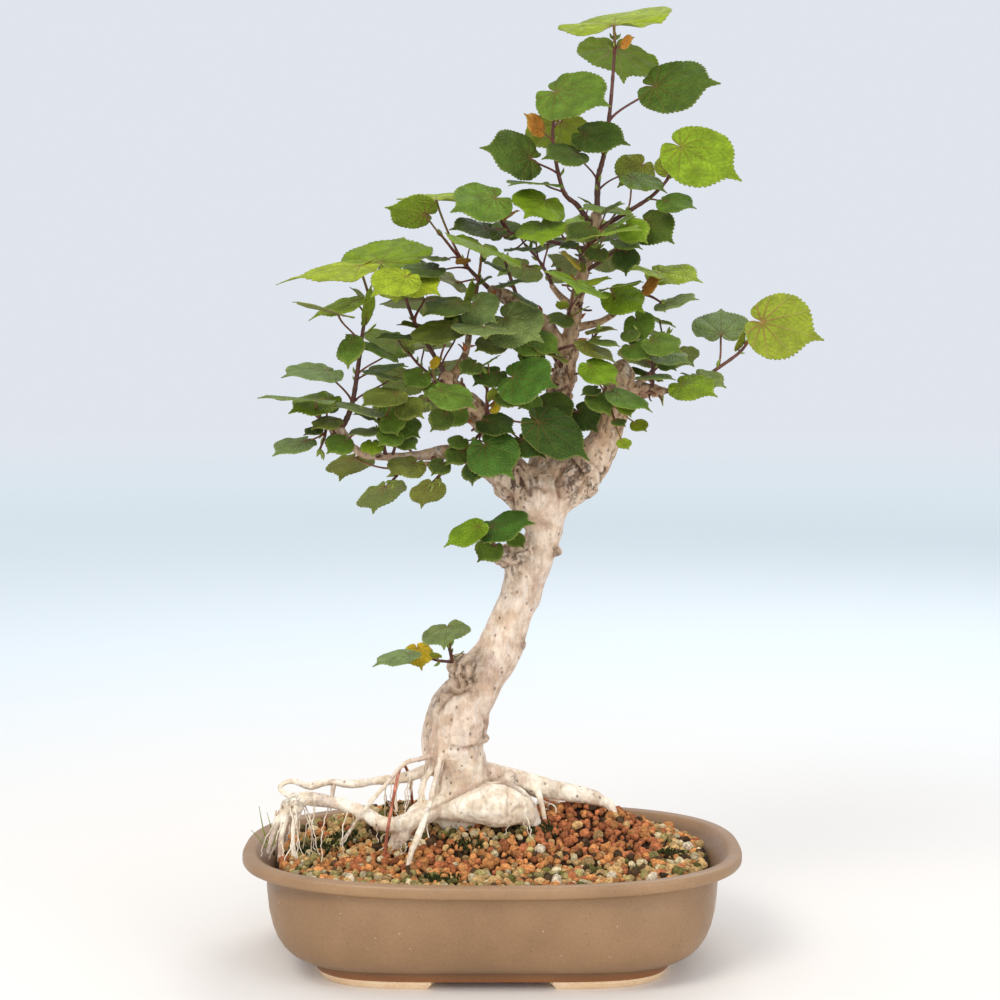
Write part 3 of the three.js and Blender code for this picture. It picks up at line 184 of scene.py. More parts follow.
# Grown wood: across, down, depth and radius of each step
TRUNK = [
    [462, 885, 6, 12], [462, 835, 5, 15], [462, 804, 2, 19.5], [464, 781, 1, 17.8], [459, 764, 0, 18.4],
    [454, 748, -1, 20], [457, 728, -2, 20.4], [463, 708, -3, 19.6], [473, 692, -3, 16.6],
    [483, 674, -3, 15.6], [497, 654, -2, 14.6], [505, 632, -1, 13.6], [513, 612, 0, 13],
    [519, 597, 1, 12.7], [523, 580, 2, 13.4], [529, 562, 2, 15], [538, 547, 2, 12.6],
    [543, 534, 1, 11.8], [543, 520, 1, 14.6], [542, 506, 0, 19], [543, 490, 0, 22.5], [546, 474, 0, 17],
]
RIGHT_LIMB = [
    [548, 500, 0, 14], [572, 480, -2, 15], [592, 458, -4, 13], [605, 438, -6, 10.5], [612, 415, -7, 10],
    [617, 392, -8, 9.5], [621, 377, -8, 8.5], [622, 368, -8, 7.5],
]
RIGHT_STUB = [[620, 394, -8, 6], [636, 391, -9, 5.5], [652, 391, -10, 4.2], [666, 391, -11, 3.2]]
LEADER = [
    [544, 490, 2, 14], [549, 445, 4, 11], [553, 412, 4, 8], [562, 385, 5, 8.5], [566, 368, 5, 7],
    [571, 335, 4, 5.4], [575, 308, 5, 4.8], [581, 278, 6, 4.3], [588, 252, 7, 4], [594, 230, 8, 3.7],
    [597, 213, 8, 3.3],
]
MIDDLE_LEFT_LIMB = [
    [530, 490, -4, 12], [508, 462, -10, 8], [494, 438, -14, 6.8], [482, 420, -16, 7], [472, 409, -18, 8],
    [458, 394, -20, 6], [450, 384, -20, 5.2], [446, 375, -20, 4.2],
]
LOWER_LEFT_LIMB = [
    [524, 496, -6, 12], [502, 478, -10, 8.6], [486, 466, -12, 7], [470, 457, -14, 6],
    [450, 452, -16, 4.8], [424, 455, -18, 3.6], [400, 457, -20, 3], [376, 456, -22, 2.8],
    [360, 452, -24, 2.6], [345, 440, -26, 2.8], [338, 431, -27, 3.6], [334, 426, -27, 2.6],
]
DEAD_TWIG = [[404, 458, -20, 2], [416, 465, -24, 1.7], [430, 464, -27, 1.6], [444, 471, -29, 1.3]]
GNARLED_BRANCH = [
    [563, 352, 4, 4.5], [548, 327, -3, 5.2], [534, 316, -6, 4.4], [520, 306, -9, 5], [505, 296, -12, 3.9],
    [490, 289, -14, 3.4],
]
INNER_TWIG = [[449, 386, -20, 3.4], [458, 368, -16, 2.6], [466, 352, -12, 2.3], [469, 335, -10, 2]]
RIGHT_TWIG = [[570, 330, 4, 3.6], [584, 326, 0, 2.6], [600, 322, -4, 2.3], [614, 314, -8, 2]]
BACK_TWIG = [[574, 318, 4, 3.4], [570, 306, 22, 2.6], [560, 296, 38, 2.2], [552, 286, 50, 1.8]]
BACK_LEFT_TWIG = [[484, 424, -15, 3.6], [474, 410, 6, 2.8], [460, 396, 26, 2.3], [446, 388, 42, 1.9]]
BACK_RIGHT_TWIG = [[613, 410, -7, 4], [620, 400, 14, 3], [632, 388, 32, 2.4], [646, 378, 48, 1.9]]
KNOTS = [
    ((506, 556, -2), 8), ((557, 552, -4), 3.6), ((461, 668, -7), 9.5), ((466, 682, -8), 7),
    ((519, 645, 0), 5), ((584, 486, -6), 8.5), ((560, 470, -6), 9), ((474, 412, -20), 6),
    ((524, 478, -8), 9), ((440, 712, -12), 6), ((484, 738, -8), 3.6),
]

# Roots: across, down, depth and radius. Their lower ends are in the soil.
ROOTS = {
    "back_left": [
        [440, 766, 0, 6], [424, 771, 2, 4.2], [402, 778, 5, 3.4], [376, 781, 8, 3], [350, 784, 10, 2.8],
        [328, 782, 12, 2.6], [309, 786, 14, 2.4], [293, 781, 15, 2.1], [280, 786, 14, 2.1],
        [284, 793, 8, 2.1], [297, 797, 0, 2.2], [302, 802, -8, 2.2],
    ],
    "front_left": [
        [450, 800, -8, 8], [428, 812, -18, 7], [404, 823, -24, 6], [383, 824, -24, 5], [360, 811, -21, 4.4],
        [338, 803, -17, 4.4], [312, 799, -14, 4.6], [297, 800, -13, 4.8], [284, 806, -12, 3.6],
    ],
    "bunch_left": [[294, 801, -12, 3.4], [281, 814, -11, 2.6], [274, 832, -12, 2.2], [268, 854, -13, 2]],
    "bunch_middle": [[292, 802, -12, 3.4], [285, 820, -15, 2.3], [281, 840, -18, 2.1], [280, 864, -20, 2]],
    "bunch_right": [[302, 801, -13, 3.2], [295, 820, -16, 2.1], [293, 842, -21, 2], [295, 868, -24, 1.9]],
    "thin_diagonal": [
        [436, 754, -12, 3], [420, 759, -18, 1.8], [404, 764, -20, 1.7], [385, 786, -25, 1.6],
        [369, 804, -28, 1.6], [352, 828, -18, 1.5], [340, 846, -6, 1.4], [334, 866, -2, 1.3],
    ],
    "prop": [
        [446, 748, -14, 4], [441, 760, -20, 2.8], [436, 780, -26, 2.4], [430, 804, -36, 2.3],
        [420, 832, -46, 2.3], [411, 853, -55, 2.2], [408, 866, -58, 2],
    ],
    "thin_upright": [[433, 765, -8, 2.4], [423, 784, -13, 1.6], [420, 806, -17, 1.6], [421, 818, -18, 1.6]],
    "pale_chunk": [
        [424, 806, -12, 5], [413, 816, -20, 5.5], [402, 834, -22, 6], [394, 852, -20, 5],
        [390, 872, -18, 4],
    ],
    "right": [
        [478, 778, 0, 11], [502, 780, 4, 9.5], [526, 784, 7, 7.8], [546, 788, 9, 7], [566, 792, 11, 6],
        [584, 795, 12, 5.2], [600, 800, 13, 4], [611, 807, 14, 3], [618, 828, 15, 2.4],
    ],
    "mound": [
        [436, 812, -14, 4.5], [454, 810, -16, 7.5], [474, 806, -18, 11.5], [495, 804, -18, 15],
        [512, 806, -16, 13.5], [525, 813, -12, 9], [535, 826, -8, 5],
    ],
    "cut_stub": [[503, 787, -10, 4.5], [510, 775, -15, 4]],
    "upright_right": [[538, 792, -2, 2.4], [542, 804, -5, 1.7], [545, 822, -6, 1.5], [546, 842, -6, 1.4]],
    "back_right": [
        [480, 780, 12, 9], [512, 784, 24, 6], [540, 792, 34, 4.5], [562, 812, 42, 3.6], [572, 842, 46, 3],
    ],
    "hanging_a": [[334, 784, 11, 1.8], [332, 797, 9, 1.2], [331, 809, 8, 0.9]],
    "hanging_d": [[398, 780, 4, 1.8], [395, 794, -2, 1.2], [397, 812, -8, 1]],
}

# Wire over the left root: across, down and depth, and its radius
WIRE = [
    [416, 850, 34], [412, 800, 24], [409, 776, 14], [404, 765, 4], [400, 769, -8], [396, 784, -32],
    [392, 806, -36], [388, 828, -38], [385, 852, -36], [383, 876, -34],
]
WIRE_RADIUS = 1.0

# Wood: sides of its limbs, the radius in millimetres from which a root is fused with the trunk, and how
TRUNK_SIDES, LIMB_SIDES, ROOT_SIDES = 28, 18, 14
FUSED_RADIUS = 3
THINNEST_WOOD = 0.3
WOOD_VOXEL = 1.12
WOOD_SOFTENING = (0.6, 4)
TRUNK_TONE = (230, 209, 189)
FOOT_TONE = (252, 242, 222)
BROWN_TONE = (182, 148, 112)
# Painted shade in the wood's clefts, folds and hollows
CLEFT_SHADE_TONE = (128, 94, 64)

# Where the wood is gnarled: across, down, depth, reach and strength
GNARLED = [
    (500, 492, -10, 15, 0.9), (516, 479, -14, 13, 1), (584, 476, -12, 17, 0.9), (600, 464, -8, 11, 0.7),
    (474, 412, -20, 13, 1), (508, 556, -4, 15, 0.7), (462, 672, -10, 15, 0.55), (557, 552, -4, 6, 0.4),
    (519, 645, -2, 8, 0.4), (336, 430, -27, 9, 1), (446, 386, -20, 12, 1), (622, 372, -8, 11, 0.8),
    (562, 360, 4, 18, 0.9), (560, 390, 4, 20, 1), (440, 706, -12, 6, 0.6), (484, 730, -10, 6, 0.6),
    (518, 304, -9, 16, 1), (470, 456, -14, 12, 0.8), (650, 391, -10, 13, 0.8), (604, 430, -8, 9, 0.5),
    (510, 776, -14, 5, 0.6), (428, 730, -8, 5, 0.7),
    (404, 836, -30, 12, 0.15), (300, 800, -13, 14, 0.35), (560, 790, -4, 10, 0.3),
]
# Clefts in the wood's front: places across and down, with width in the picture and depth
CLEFTS = [
    ([(429, 811), (454, 797), (479, 784), (490, 780)], 1.3, 1.5),
    ([(490, 780), (505, 782), (518, 788), (531, 797), (536, 806)], 1.7, 2.4),
    ([(507, 784), (508, 800), (508, 818)], 0.9, 0.8),
    ([(481, 793), (484, 799), (487, 805)], 0.9, 0.8),
    ([(454, 802), (456, 807), (458, 812)], 0.9, 0.8),
    ([(513, 811), (518, 807), (524, 808)], 1.5, 1.1),
    ([(484, 758), (488, 768), (490, 779)], 1.4, 1.5),
    ([(452, 747), (462, 749), (474, 748), (488, 744)], 2.2, 1.5),
    ([(446, 690), (456, 693), (468, 690)], 2.4, 2.2),
    ([(450, 695), (443, 703), (438, 713)], 2.4, 1.8),
    ([(462, 655), (455, 663), (453, 676), (458, 686)], 1.7, 2),
    ([(470, 660), (463, 666), (461, 676), (466, 684)], 1.6, 1.8),
    ([(475, 664), (470, 676), (474, 684)], 1.5, 1.6),
    ([(484, 716), (488, 728), (484, 740)], 1.5, 1.3),
    ([(431, 712), (428, 726), (427, 742)], 1.5, 1.1),
    ([(444, 762), (441, 776), (437, 792)], 1.6, 1.4),
    ([(500, 561), (512, 566), (526, 561)], 1.6, 1.4),
    ([(503, 545), (513, 553), (526, 549)], 1.6, 1.8),
    ([(497, 484), (508, 492), (512, 505)], 1.8, 2.2),
    ([(518, 470), (522, 484), (530, 496)], 1.8, 2.2),
    ([(534, 472), (537, 484), (545, 492)], 1.8, 1.8),
    ([(563, 468), (557, 482), (560, 497)], 2, 2.4),
    ([(572, 460), (580, 470), (585, 482), (578, 492)], 1.8, 2.2),
    ([(566, 478), (578, 480), (593, 478)], 1.7, 1.8),
    ([(590, 460), (599, 470), (601, 480)], 1.5, 1.5),
]

# Fine roots: where a bunch begins and ends, how many there are and how thick
ROOTLETS = [
    ((292, 803, -12), (286, 846, -16), 5, 0.9), ((284, 810, -12), (268, 846, -10), 4, 0.8),
    ((300, 800, -13), (302, 836, -22), 4, 0.7), ((322, 802, -15), (316, 828, -20), 3, 0.6),
    ((350, 808, -19), (344, 836, -26), 3, 0.6), ((392, 779, 6), (394, 812, 2), 3, 0.6),
    ((412, 774, 2), (410, 808, -10), 3, 0.6), ((430, 765, -8), (418, 818, -16), 3, 0.8),
    ((404, 838, -26), (394, 856, -32), 5, 0.6), ((542, 800, 6), (548, 822, 0), 3, 0.7),
    ((520, 812, -22), (524, 828, -28), 3, 0.6),
]
# Dead stubs and dry scales: how many on which limb, their thickness along them and their colours
SPURS = [
    (LEADER, 26), (GNARLED_BRANCH, 12), (MIDDLE_LEFT_LIMB, 14), (LOWER_LEFT_LIMB, 10), (RIGHT_STUB, 6),
    (INNER_TWIG, 5),
]
SPUR_SHARES = (1.3, 1.1, 1, 0.95, 0.95, 0.9, 0.8)
SPUR_TONE = (124, 84, 62)
SCALE_SHARES = (0.5, 1.1, 1.5, 1.4, 1.0, 0.6, 0.2)
SCALE_TONES = [(176, 102, 52), (146, 92, 56), (122, 134, 54)]
SCALE_CHANCE = 0.4

# A leaf's tip lies nearer or farther than its joint
NEAR, FAR = -1, 1
# Leaf blades, in shares of their length
FOLD, FOLD_ROUNDING, DROOP = 0.06, 0.03, 0.07
HILL_HEIGHT = 0.014
TIP_BEND, TIP_CURL, NOTCH_LIFT = 0.05, 0.12, 0.05
TOOTH_DEPTHS = (0.018, 0.055)
MARGIN_TONE, MARGIN_SHARE = (190, 188, 96), 0.34
BLADE_THICKNESS = 0.4  # millimetres
# A blade leans the other way where its tip lies further left of its joint than this, in picture points
TURNS_LEFT = -12
# Shortest blade in millimetres, its teeth, points for each tooth and rings from the joint to the edge
BLADE_SIZES = [
    (36, 50, 3, (0.1, 0.24, 0.4, 0.56, 0.72, 0.86, 0.95, 1)),
    (22, 38, 2, (0.14, 0.34, 0.56, 0.78, 0.93, 1)),
    (0, 22, 2, (0.2, 0.5, 0.8, 1)),
]
# Half of a blade's edge from the tip to the notch: angle in degrees and reach as a share of the length
BLADE_EDGE = [
    (0, 1.0), (1.3, 0.945), (2.8, 0.885), (5, 0.83), (9, 0.79), (16, 0.76), (26, 0.735), (37, 0.7),
    (50, 0.635), (64, 0.555), (78, 0.475), (92, 0.41), (106, 0.36), (120, 0.32), (134, 0.29), (147, 0.265),
    (158, 0.23), (166, 0.18), (171, 0.11),
]
# Veins: angle between main veins in radians, how they wind and thin out, and the side veins' step and slant
MAIN_VEIN_STEP = 0.5
VEIN_WINDING = 0.05
MAIN_VEIN_WIDTHS = (0.014, 0.0055)
SIDE_VEIN_STEP = 0.085
SIDE_VEIN_SLANT = 0.9
# Share of light that comes through a blade, and the blades' colours; the grey one is a painted sheen
LIGHT_THROUGH = 0.24
TONES = {
    "deep": (54, 80, 28), "dark": (78, 100, 36), "fresh": (76, 118, 40), "mid": (100, 130, 44),
    "bright": (128, 158, 34), "lime": (160, 178, 38), "olive": (122, 130, 50), "sheen_grey": (126, 146, 82),
    "yellow": (222, 190, 40), "young": (208, 134, 50),
}

# Shoots: how far in millimetres a leaf's joint lies from its twig's depth, and how its neighbours differ
LEAF_DEPTH = 7
LEAF_STAGGER = 7
# A petiole leaves its twig before the place nearest to the joint: by this share of the gap between them,
# but not before the first of these picture points along the twig, taken in turn
PETIOLE_RISE = 0.9
PETIOLE_STARTS = [4, 6.5, 9, 11.5, 14]
PETIOLE_SIDES, TWIG_SIDES, BUD_SIDES, STIPULE_SIDES = 6, 9, 8, 5
BUD_RADII = (0.8, 1.15, 1.3, 1.25, 1.0, 0.65, 0.2)
BUD_STEPS = (0, 2.4, 5.2)
STIPULE_RADII = (0.45, 0.8, 1.0, 0.95, 0.7, 0.4, 0.12)
STIPULE_WIDTH = 0.16
STIPULE_CHANCE = 0.75
TWIG_TONES = [(88, 54, 42), (98, 52, 40)]
PETIOLE_TONES = [(116, 48, 42), (126, 66, 46), (98, 40, 40)]
BUD_TONE = (128, 142, 54)

# Soft boxes: place, what they face, size, power and colour
SOFT_BOXES = {
    "key": ((-1.0, -1.5, 1.9), (0, 0, 0.3), 1.1, 25, (1, 0.96, 0.9)),
    "fill": ((1.5, -1.4, 0.9), (0, 0, 0.3), 1.2, 9, (0.97, 0.98, 1)),
    "front": ((-0.1, -2.9, 1.15), (0, 0, 0.38), 1.6, 15, (1, 0.99, 0.97)),
    "back": ((0.6, 1.5, 1.8), (0, 0, 0.4), 1.2, 12, (1, 0.98, 0.95)),
}


# Places and shapes
def sight_line(across, down):
    """Direction from the eye to a picture point."""
    right = (across - PICTURE_MIDDLE) / PICTURE_FOCUS
    up = (PICTURE_MIDDLE - down) / PICTURE_FOCUS
    cos, sin = math.cos(EYE_PITCH), math.sin(EYE_PITCH)
    return np.array([right, cos + up * sin, up * cos - sin])


def seen(across, down, depth):
    """Point of the plant, in millimetres, on the sight line of a picture point."""
    line = sight_line(across, down)
    return line * ((depth - EYE[1]) / line[1]) + EYE


def picture_of(points):
    """Picture places of points, across and down."""
    x, y, z = (points - EYE).T
    cos, sin = math.cos(EYE_PITCH), math.sin(EYE_PITCH)
    forward = y * cos - z * sin
    across = PICTURE_MIDDLE + PICTURE_FOCUS * x / forward
    down = PICTURE_MIDDLE - PICTURE_FOCUS * (y * sin + z * cos) / forward
    return np.column_stack([across, down])


def line_gap(places, line):
    """Distance in the picture from places to a line of points."""
    nearest = np.full(len(places), np.inf)
    for start, end in zip(np.array(line, float), np.array(line[1:], float)):
        run = end - start
        share = np.clip((places - start) @ run / (run @ run), 0, 1)
        nearest = np.minimum(nearest, np.linalg.norm(places - start - share[:, None] * run, axis=1))
    return nearest


def unit(vector):
    return vector / max(np.linalg.norm(vector), 1e-9)


def linear(red, green, blue):
    """Colour for a shader from one given as the eye reads it, 0 to 255."""
    return np.array([(value / 255 / 12.92) if value < 10 else ((value / 255 + 0.055) / 1.055) ** 2.4
                     for value in (red, green, blue)])


def blend(first, second, share):
    """Colours between two, with a share of the second for each point."""
    share = np.asarray(share)[:, None]
    return first * (1 - share) + second * share


def stray(rng, *spreads):
    """Random offset with its own spread in each direction."""
    return np.array([rng.gauss(0, spread) for spread in spreads])


def lattice(cells, seed):
    """A fixed number from 0 to 1 for each cell of a grid."""
    mixed = (cells * LATTICE["steps"]).sum(axis=-1) + seed * LATTICE["seed_step"]
    mixed = (mixed ^ (mixed >> 13)) * LATTICE["scatter"]
    return ((mixed ^ (mixed >> 16)) & 0xFFFF) / 65535.0


def noise(points, size, seed=0):
    """Smooth noise from -1 to 1 at points, with lumps of about the given size."""
    scaled = np.asarray(points, float) / size
    low = np.floor(scaled).astype(np.int64)
    part = scaled - low
    part = part * part * (3 - 2 * part)
    total = 0
    for corner in range(8):
        step = np.array([corner & 1, corner >> 1 & 1, corner >> 2 & 1])
        weight = np.prod(np.where(step, part, 1 - part), axis=-1)
        total = total + weight * lattice(low + step, seed)
    return 2 * total - 1


def spline(rows, per_step):
    """Smooth curve through rows of numbers."""
    rows = np.asarray(rows, float)
    padded = np.vstack([2 * rows[0] - rows[1], rows, 2 * rows[-1] - rows[-2]])
    share = np.arange(per_step)[:, None] / per_step
    made = []
    for i in range(1, len(rows)):
        before, start, end, after = padded[i - 1:i + 3]
        made.append(0.5 * (
            2 * start + (end - before) * share
            + (2 * before - 5 * start + 4 * end - after) * share ** 2
            + (3 * start - before - 3 * end + after) * share ** 3
        ))
    return np.vstack([*made, rows[-1:]])


def wood_path(steps, per_step=6):
    """Smooth middle line and radii of wood given as across, down, depth and radius."""
    rows = np.array([[*seen(*step[:3]), step[3]] for step in steps])
    curve = spline(rows, per_step)
    return curve[:, :3], np.maximum(curve[:, 3], THINNEST_WOOD)


class Shape:
    """Points and faces of one piece. Each point carries a colour and three traits: on a leaf its place along
    and across the blade and whether it is underneath, on wood how gnarled it is.
    """

    def __init__(self):
        self.points, self.tints, self.traits = [], [], []
        self.faces, self.slots, self.smooth = [], [], []
        self.count = 0

    def add(self, points, faces, tint=(1, 1, 1), traits=(0, 0, 0), slot=0, smooth=True):
        points = np.asarray(points, float)
        self.points.append(points)
        self.tints.append(np.broadcast_to(tint, (len(points), 3)))
        self.traits.append(np.broadcast_to(traits, (len(points), 3)))
        self.faces += [tuple(self.count + corner for corner in face) for face in faces]
        self.slots += [slot] * len(faces)
        self.smooth += [smooth] * len(faces) if isinstance(smooth, bool) else smooth
        self.count += len(points)

    def build(self, name, *materials):
        mesh = bpy.data.meshes.new(name)
        points = (np.vstack(self.points) + MIDDLE) * MM
        mesh.from_pydata(points.tolist(), [], self.faces)
        mesh.polygons.foreach_set("material_index", self.slots)
        mesh.polygons.foreach_set("use_smooth", self.smooth)
        tints = np.hstack([np.vstack(self.tints), np.ones((self.count, 1))])
        mesh.attributes.new("tint", "FLOAT_COLOR", "POINT").data.foreach_set("color", tints.ravel())
        traits = np.vstack(self.traits)
        mesh.attributes.new("traits", "FLOAT_VECTOR", "POINT").data.foreach_set("vector", traits.ravel())
        for material in materials:
            mesh.materials.append(material)
        mesh.update()
        piece = bpy.data.objects.new(name, mesh)
        bpy.context.scene.collection.objects.link(piece)
        return piece


def with_modifiers(piece):
    """Mesh of a piece as its modifiers leave it."""
    return bpy.data.meshes.new_from_object(piece.evaluated_get(bpy.context.evaluated_depsgraph_get()))


def ring_faces(levels, sides):
    """Faces between rings of points, the first ring lowest on the outside."""
    faces = []
    for low in range(0, (levels - 1) * sides, sides):
        for k in range(sides):
            m = (k + 1) % sides
            faces.append((low + k, low + m, low + sides + m, low + sides + k))
    return faces


def closed_faces(levels, sides):
    """Faces of rings that are closed by one more point below them and another above."""
    faces = ring_faces(levels, sides)
    low, last = levels * sides, (levels - 1) * sides
    for k in range(sides):
        m = (k + 1) % sides
        faces += [(low, m, k), (low + 1, last + k, last + m)]
    return faces


def tube(shape, path, radii, sides, tint=(1, 1, 1), slot=0, flute=None, traits=(0, 0, 0)):
    """Closed round limb along a path, without twist."""
    path = np.asarray(path, float)
    count = len(path)
    radii = np.broadcast_to(radii, (count,))
    runs = np.gradient(path, axis=0)
    across = unit(np.cross(runs[0], (0, 1, 0) if abs(unit(runs[0])[1]) < 0.9 else (1, 0, 0)))
    angles = 2 * np.pi * np.arange(sides) / sides
    cos, sin = np.cos(angles)[:, None], np.sin(angles)[:, None]
    rings = []
    for i in range(count):
        run = unit(runs[i])
        across = unit(across - run * np.dot(across, run))
        over = np.cross(run, across)
        reach = radii[i] * (flute(angles, i / max(count - 1, 1)) if flute else np.ones(sides))
        rings.append(path[i] + reach[:, None] * (cos * across + sin * over))
    ends = [path[0] - unit(runs[0]) * radii[0] * 0.5, path[-1] + unit(runs[-1]) * radii[-1] * 0.8]
    if np.ndim(tint) == 2:
        tint = np.vstack([np.repeat(tint, sides, axis=0), tint[:1], tint[-1:]])
    shape.add(np.vstack([*rings, *ends]), closed_faces(count, sides), tint, traits, slot)


def ball(subdivisions):
    """Points and triangles of a round ball of radius 1."""
    gold = (1 + 5 ** 0.5) / 2
    points = [(-1, gold, 0), (1, gold, 0), (-1, -gold, 0), (1, -gold, 0), (0, -1, gold), (0, 1, gold),
              (0, -1, -gold), (0, 1, -gold), (gold, 0, -1), (gold, 0, 1), (-gold, 0, -1), (-gold, 0, 1)]
    faces = [(0, 11, 5), (0, 5, 1), (0, 1, 7), (0, 7, 10), (0, 10, 11), (1, 5, 9), (5, 11, 4), (11, 10, 2),
             (10, 7, 6), (7, 1, 8), (3, 9, 4), (3, 4, 2), (3, 2, 6), (3, 6, 8), (3, 8, 9), (4, 9, 5),
             (2, 4, 11), (6, 2, 10), (8, 6, 7), (9, 8, 1)]
    points = [unit(np.array(point, float)) for point in points]
    for _ in range(subdivisions):
        middles, finer = {}, []
        for face in faces:
            edges = []
            for a, b in ((0, 1), (1, 2), (2, 0)):
                key = tuple(sorted((face[a], face[b])))
                if key not in middles:
                    points.append(unit(points[key[0]] + points[key[1]]))
                    middles[key] = len(points) - 1
                edges.append(middles[key])
            finer += [(face[0], edges[0], edges[2]), (face[1], edges[1], edges[0]),
                      (face[2], edges[2], edges[1]), tuple(edges)]
        faces = finer
    return np.array(points), faces


def turned(rng):
    """Random rotation."""
    w, x, y, z = unit(stray(rng, 1, 1, 1, 1))
    return np.array([
        [1 - 2 * (y * y + z * z), 2 * (x * y - z * w), 2 * (x * z + y * w)],
        [2 * (x * y + z * w), 1 - 2 * (x * x + z * z), 2 * (y * z - x * w)],
        [2 * (x * z - y * w), 2 * (y * z + x * w), 1 - 2 * (x * x + y * y)],
    ])


# Materials
class Shade:
    """A material's nodes, added one by one."""

    def __init__(self, name, roughness=0.6, specular=0.5):
        self.material = bpy.data.materials.new(name)
        self.material.use_nodes = True
        self.nodes = self.material.node_tree.nodes
        self.links = self.material.node_tree.links
        self.shader = self.nodes["Principled BSDF"]
        self.output = self.nodes["Material Output"]
        self.shader.inputs["Roughness"].default_value = roughness
        self.shader.inputs["Specular IOR Level"].default_value = specular

    def node(self, kind, **values):
        made = self.nodes.new(kind)
        for name, value in values.items():
            setattr(made, name, value)
        return made

    def put(self, socket, value):
        if isinstance(value, bpy.types.NodeSocket):
            self.links.new(value, socket)
        elif value is not None:
            if socket.type == "RGBA" and len(value) == 3:
                value = (*value, 1)
            socket.default_value = value

    def attribute(self, name, output="Color"):
        return self.node("ShaderNodeAttribute", attribute_name=name).outputs[output]

    def place(self, stretch=(1, 1, 1)):
        """Coordinates of the piece in metres, stretched."""
        mapping = self.node("ShaderNodeMapping")
        mapping.inputs["Scale"].default_value = stretch
        self.put(mapping.inputs["Vector"], self.node("ShaderNodeTexCoord").outputs["Object"])
        return mapping.outputs["Vector"]

    def parts(self, vector):
        """The three numbers of a vector."""
        split = self.node("ShaderNodeSeparateXYZ")
        self.put(split.inputs[0], vector)
        return split.outputs

    def math(self, operation, first, second=None):
        made = self.node("ShaderNodeMath", operation=operation)
        for socket, value in zip(made.inputs, (first, second)):
            self.put(socket, value)
        return made.outputs[0]

    def times(self, first, *others):
        for other in others:
            first = self.math("MULTIPLY", first, other)
        return first

    def plus(self, first, second):
        return self.math("ADD", first, second)

    def minus(self, first, second):
        return self.math("SUBTRACT", first, second)

    def rest(self, value):
        """What is left of 1."""
        return self.minus(1.0, value)

    def length(self, x, y):
        return self.math("SQRT", self.plus(self.times(x, x), self.times(y, y)))

    def noise(self, size, detail=3.0, rough=0.55, at=None, warp=0.0):
        """Noise with lumps of about the given size in metres."""
        made = self.node("ShaderNodeTexNoise")
        made.inputs["Scale"].default_value = 1 / size
        made.inputs["Detail"].default_value = detail
        made.inputs["Roughness"].default_value = rough
        made.inputs["Distortion"].default_value = warp
        self.put(made.inputs["Vector"], at or self.place())
        return made.outputs["Fac"]

    def cells(self, size, at=None, feature="F1"):
        """Distance to the nearest of points strewn the given size apart, or to the edge between them."""
        made = self.node("ShaderNodeTexVoronoi", feature=feature)
        made.inputs["Scale"].default_value = 1 / size
        self.put(made.inputs["Vector"], at or self.place())
        return made.outputs["Distance"]

    def fit(self, value, low, high, to_low=0.0, to_high=1.0):
        """Value eased from its range to another."""
        made = self.node("ShaderNodeMapRange", interpolation_type="SMOOTHSTEP")
        for socket, number in zip(made.inputs, (value, low, high, to_low, to_high)):
            self.put(socket, number)
        return made.outputs[0]

    def mix(self, share, first, second, how="MIX"):
        made = self.node("ShaderNodeMix", data_type="RGBA", blend_type=how)
        self.put(made.inputs["Factor"], share)
        self.put(made.inputs[6], first)
        self.put(made.inputs[7], second)
        return made.outputs[2]

    def toned(self, colour, by):
        """Colour made lighter or darker."""
        return self.mix(1.0, colour, by, "MULTIPLY")

    def laid(self, under, mask, strength, over):
        """Colour laid over another where a mask shows."""
        return self.mix(self.times(mask, strength), under, over)

    def bump(self, height, depth):
        """Normal for relief of the given depth in metres."""
        made = self.node("ShaderNodeBump")
        made.inputs["Distance"].default_value = depth
        self.put(made.inputs["Height"], height)
        return made.outputs["Normal"]

    def done(self, colour, normal=None, roughness=None):
        self.put(self.shader.inputs["Base Color"], colour)
        self.put(self.shader.inputs["Normal"], normal)
        self.put(self.shader.inputs["Roughness"], roughness)
        return self.material


def leaf_veins(shade, x, y, away):
    """Masks of the main and the side veins, and the gap to the nearest side vein."""
    angle = shade.math("ABSOLUTE", shade.math("ARCTAN2", y, x))
    wound = shade.times(angle, shade.rest(shade.times(angle, VEIN_WINDING)))
    off = shade.math("PINGPONG", wound, MAIN_VEIN_STEP / 2)
    width = shade.fit(away, 0.0, 0.9, *MAIN_VEIN_WIDTHS)
    main = shade.rest(shade.fit(shade.math("DIVIDE", shade.times(off, away), width), 0.3, 1.0))
    forward = shade.times(away, shade.math("COSINE", off))
    aside = shade.times(away, shade.math("SINE", off), SIDE_VEIN_SLANT)
    gap = shade.math("PINGPONG", shade.plus(shade.minus(forward, aside), 0.02), SIDE_VEIN_STEP / 2)
    side = shade.times(shade.rest(shade.fit(gap, 0.0018, 0.0062)), shade.fit(away, 0.12, 0.25))
    return main, side, gap


def let_light_through(shade, colour, normal):
    """Part of the light passes through the blade, yellower."""
    through = shade.node("ShaderNodeBsdfTranslucent")
    shade.put(through.inputs["Color"], shade.mix(0.3, colour, linear(170, 180, 40)))
    shade.put(through.inputs["Normal"], normal)
    both = shade.node("ShaderNodeMixShader")
    for socket, value in zip(both.inputs, (LIGHT_THROUGH, shade.shader.outputs[0], through.outputs[0])):
        shade.put(socket, value)
    shade.put(shade.output.inputs["Surface"], both.outputs[0])


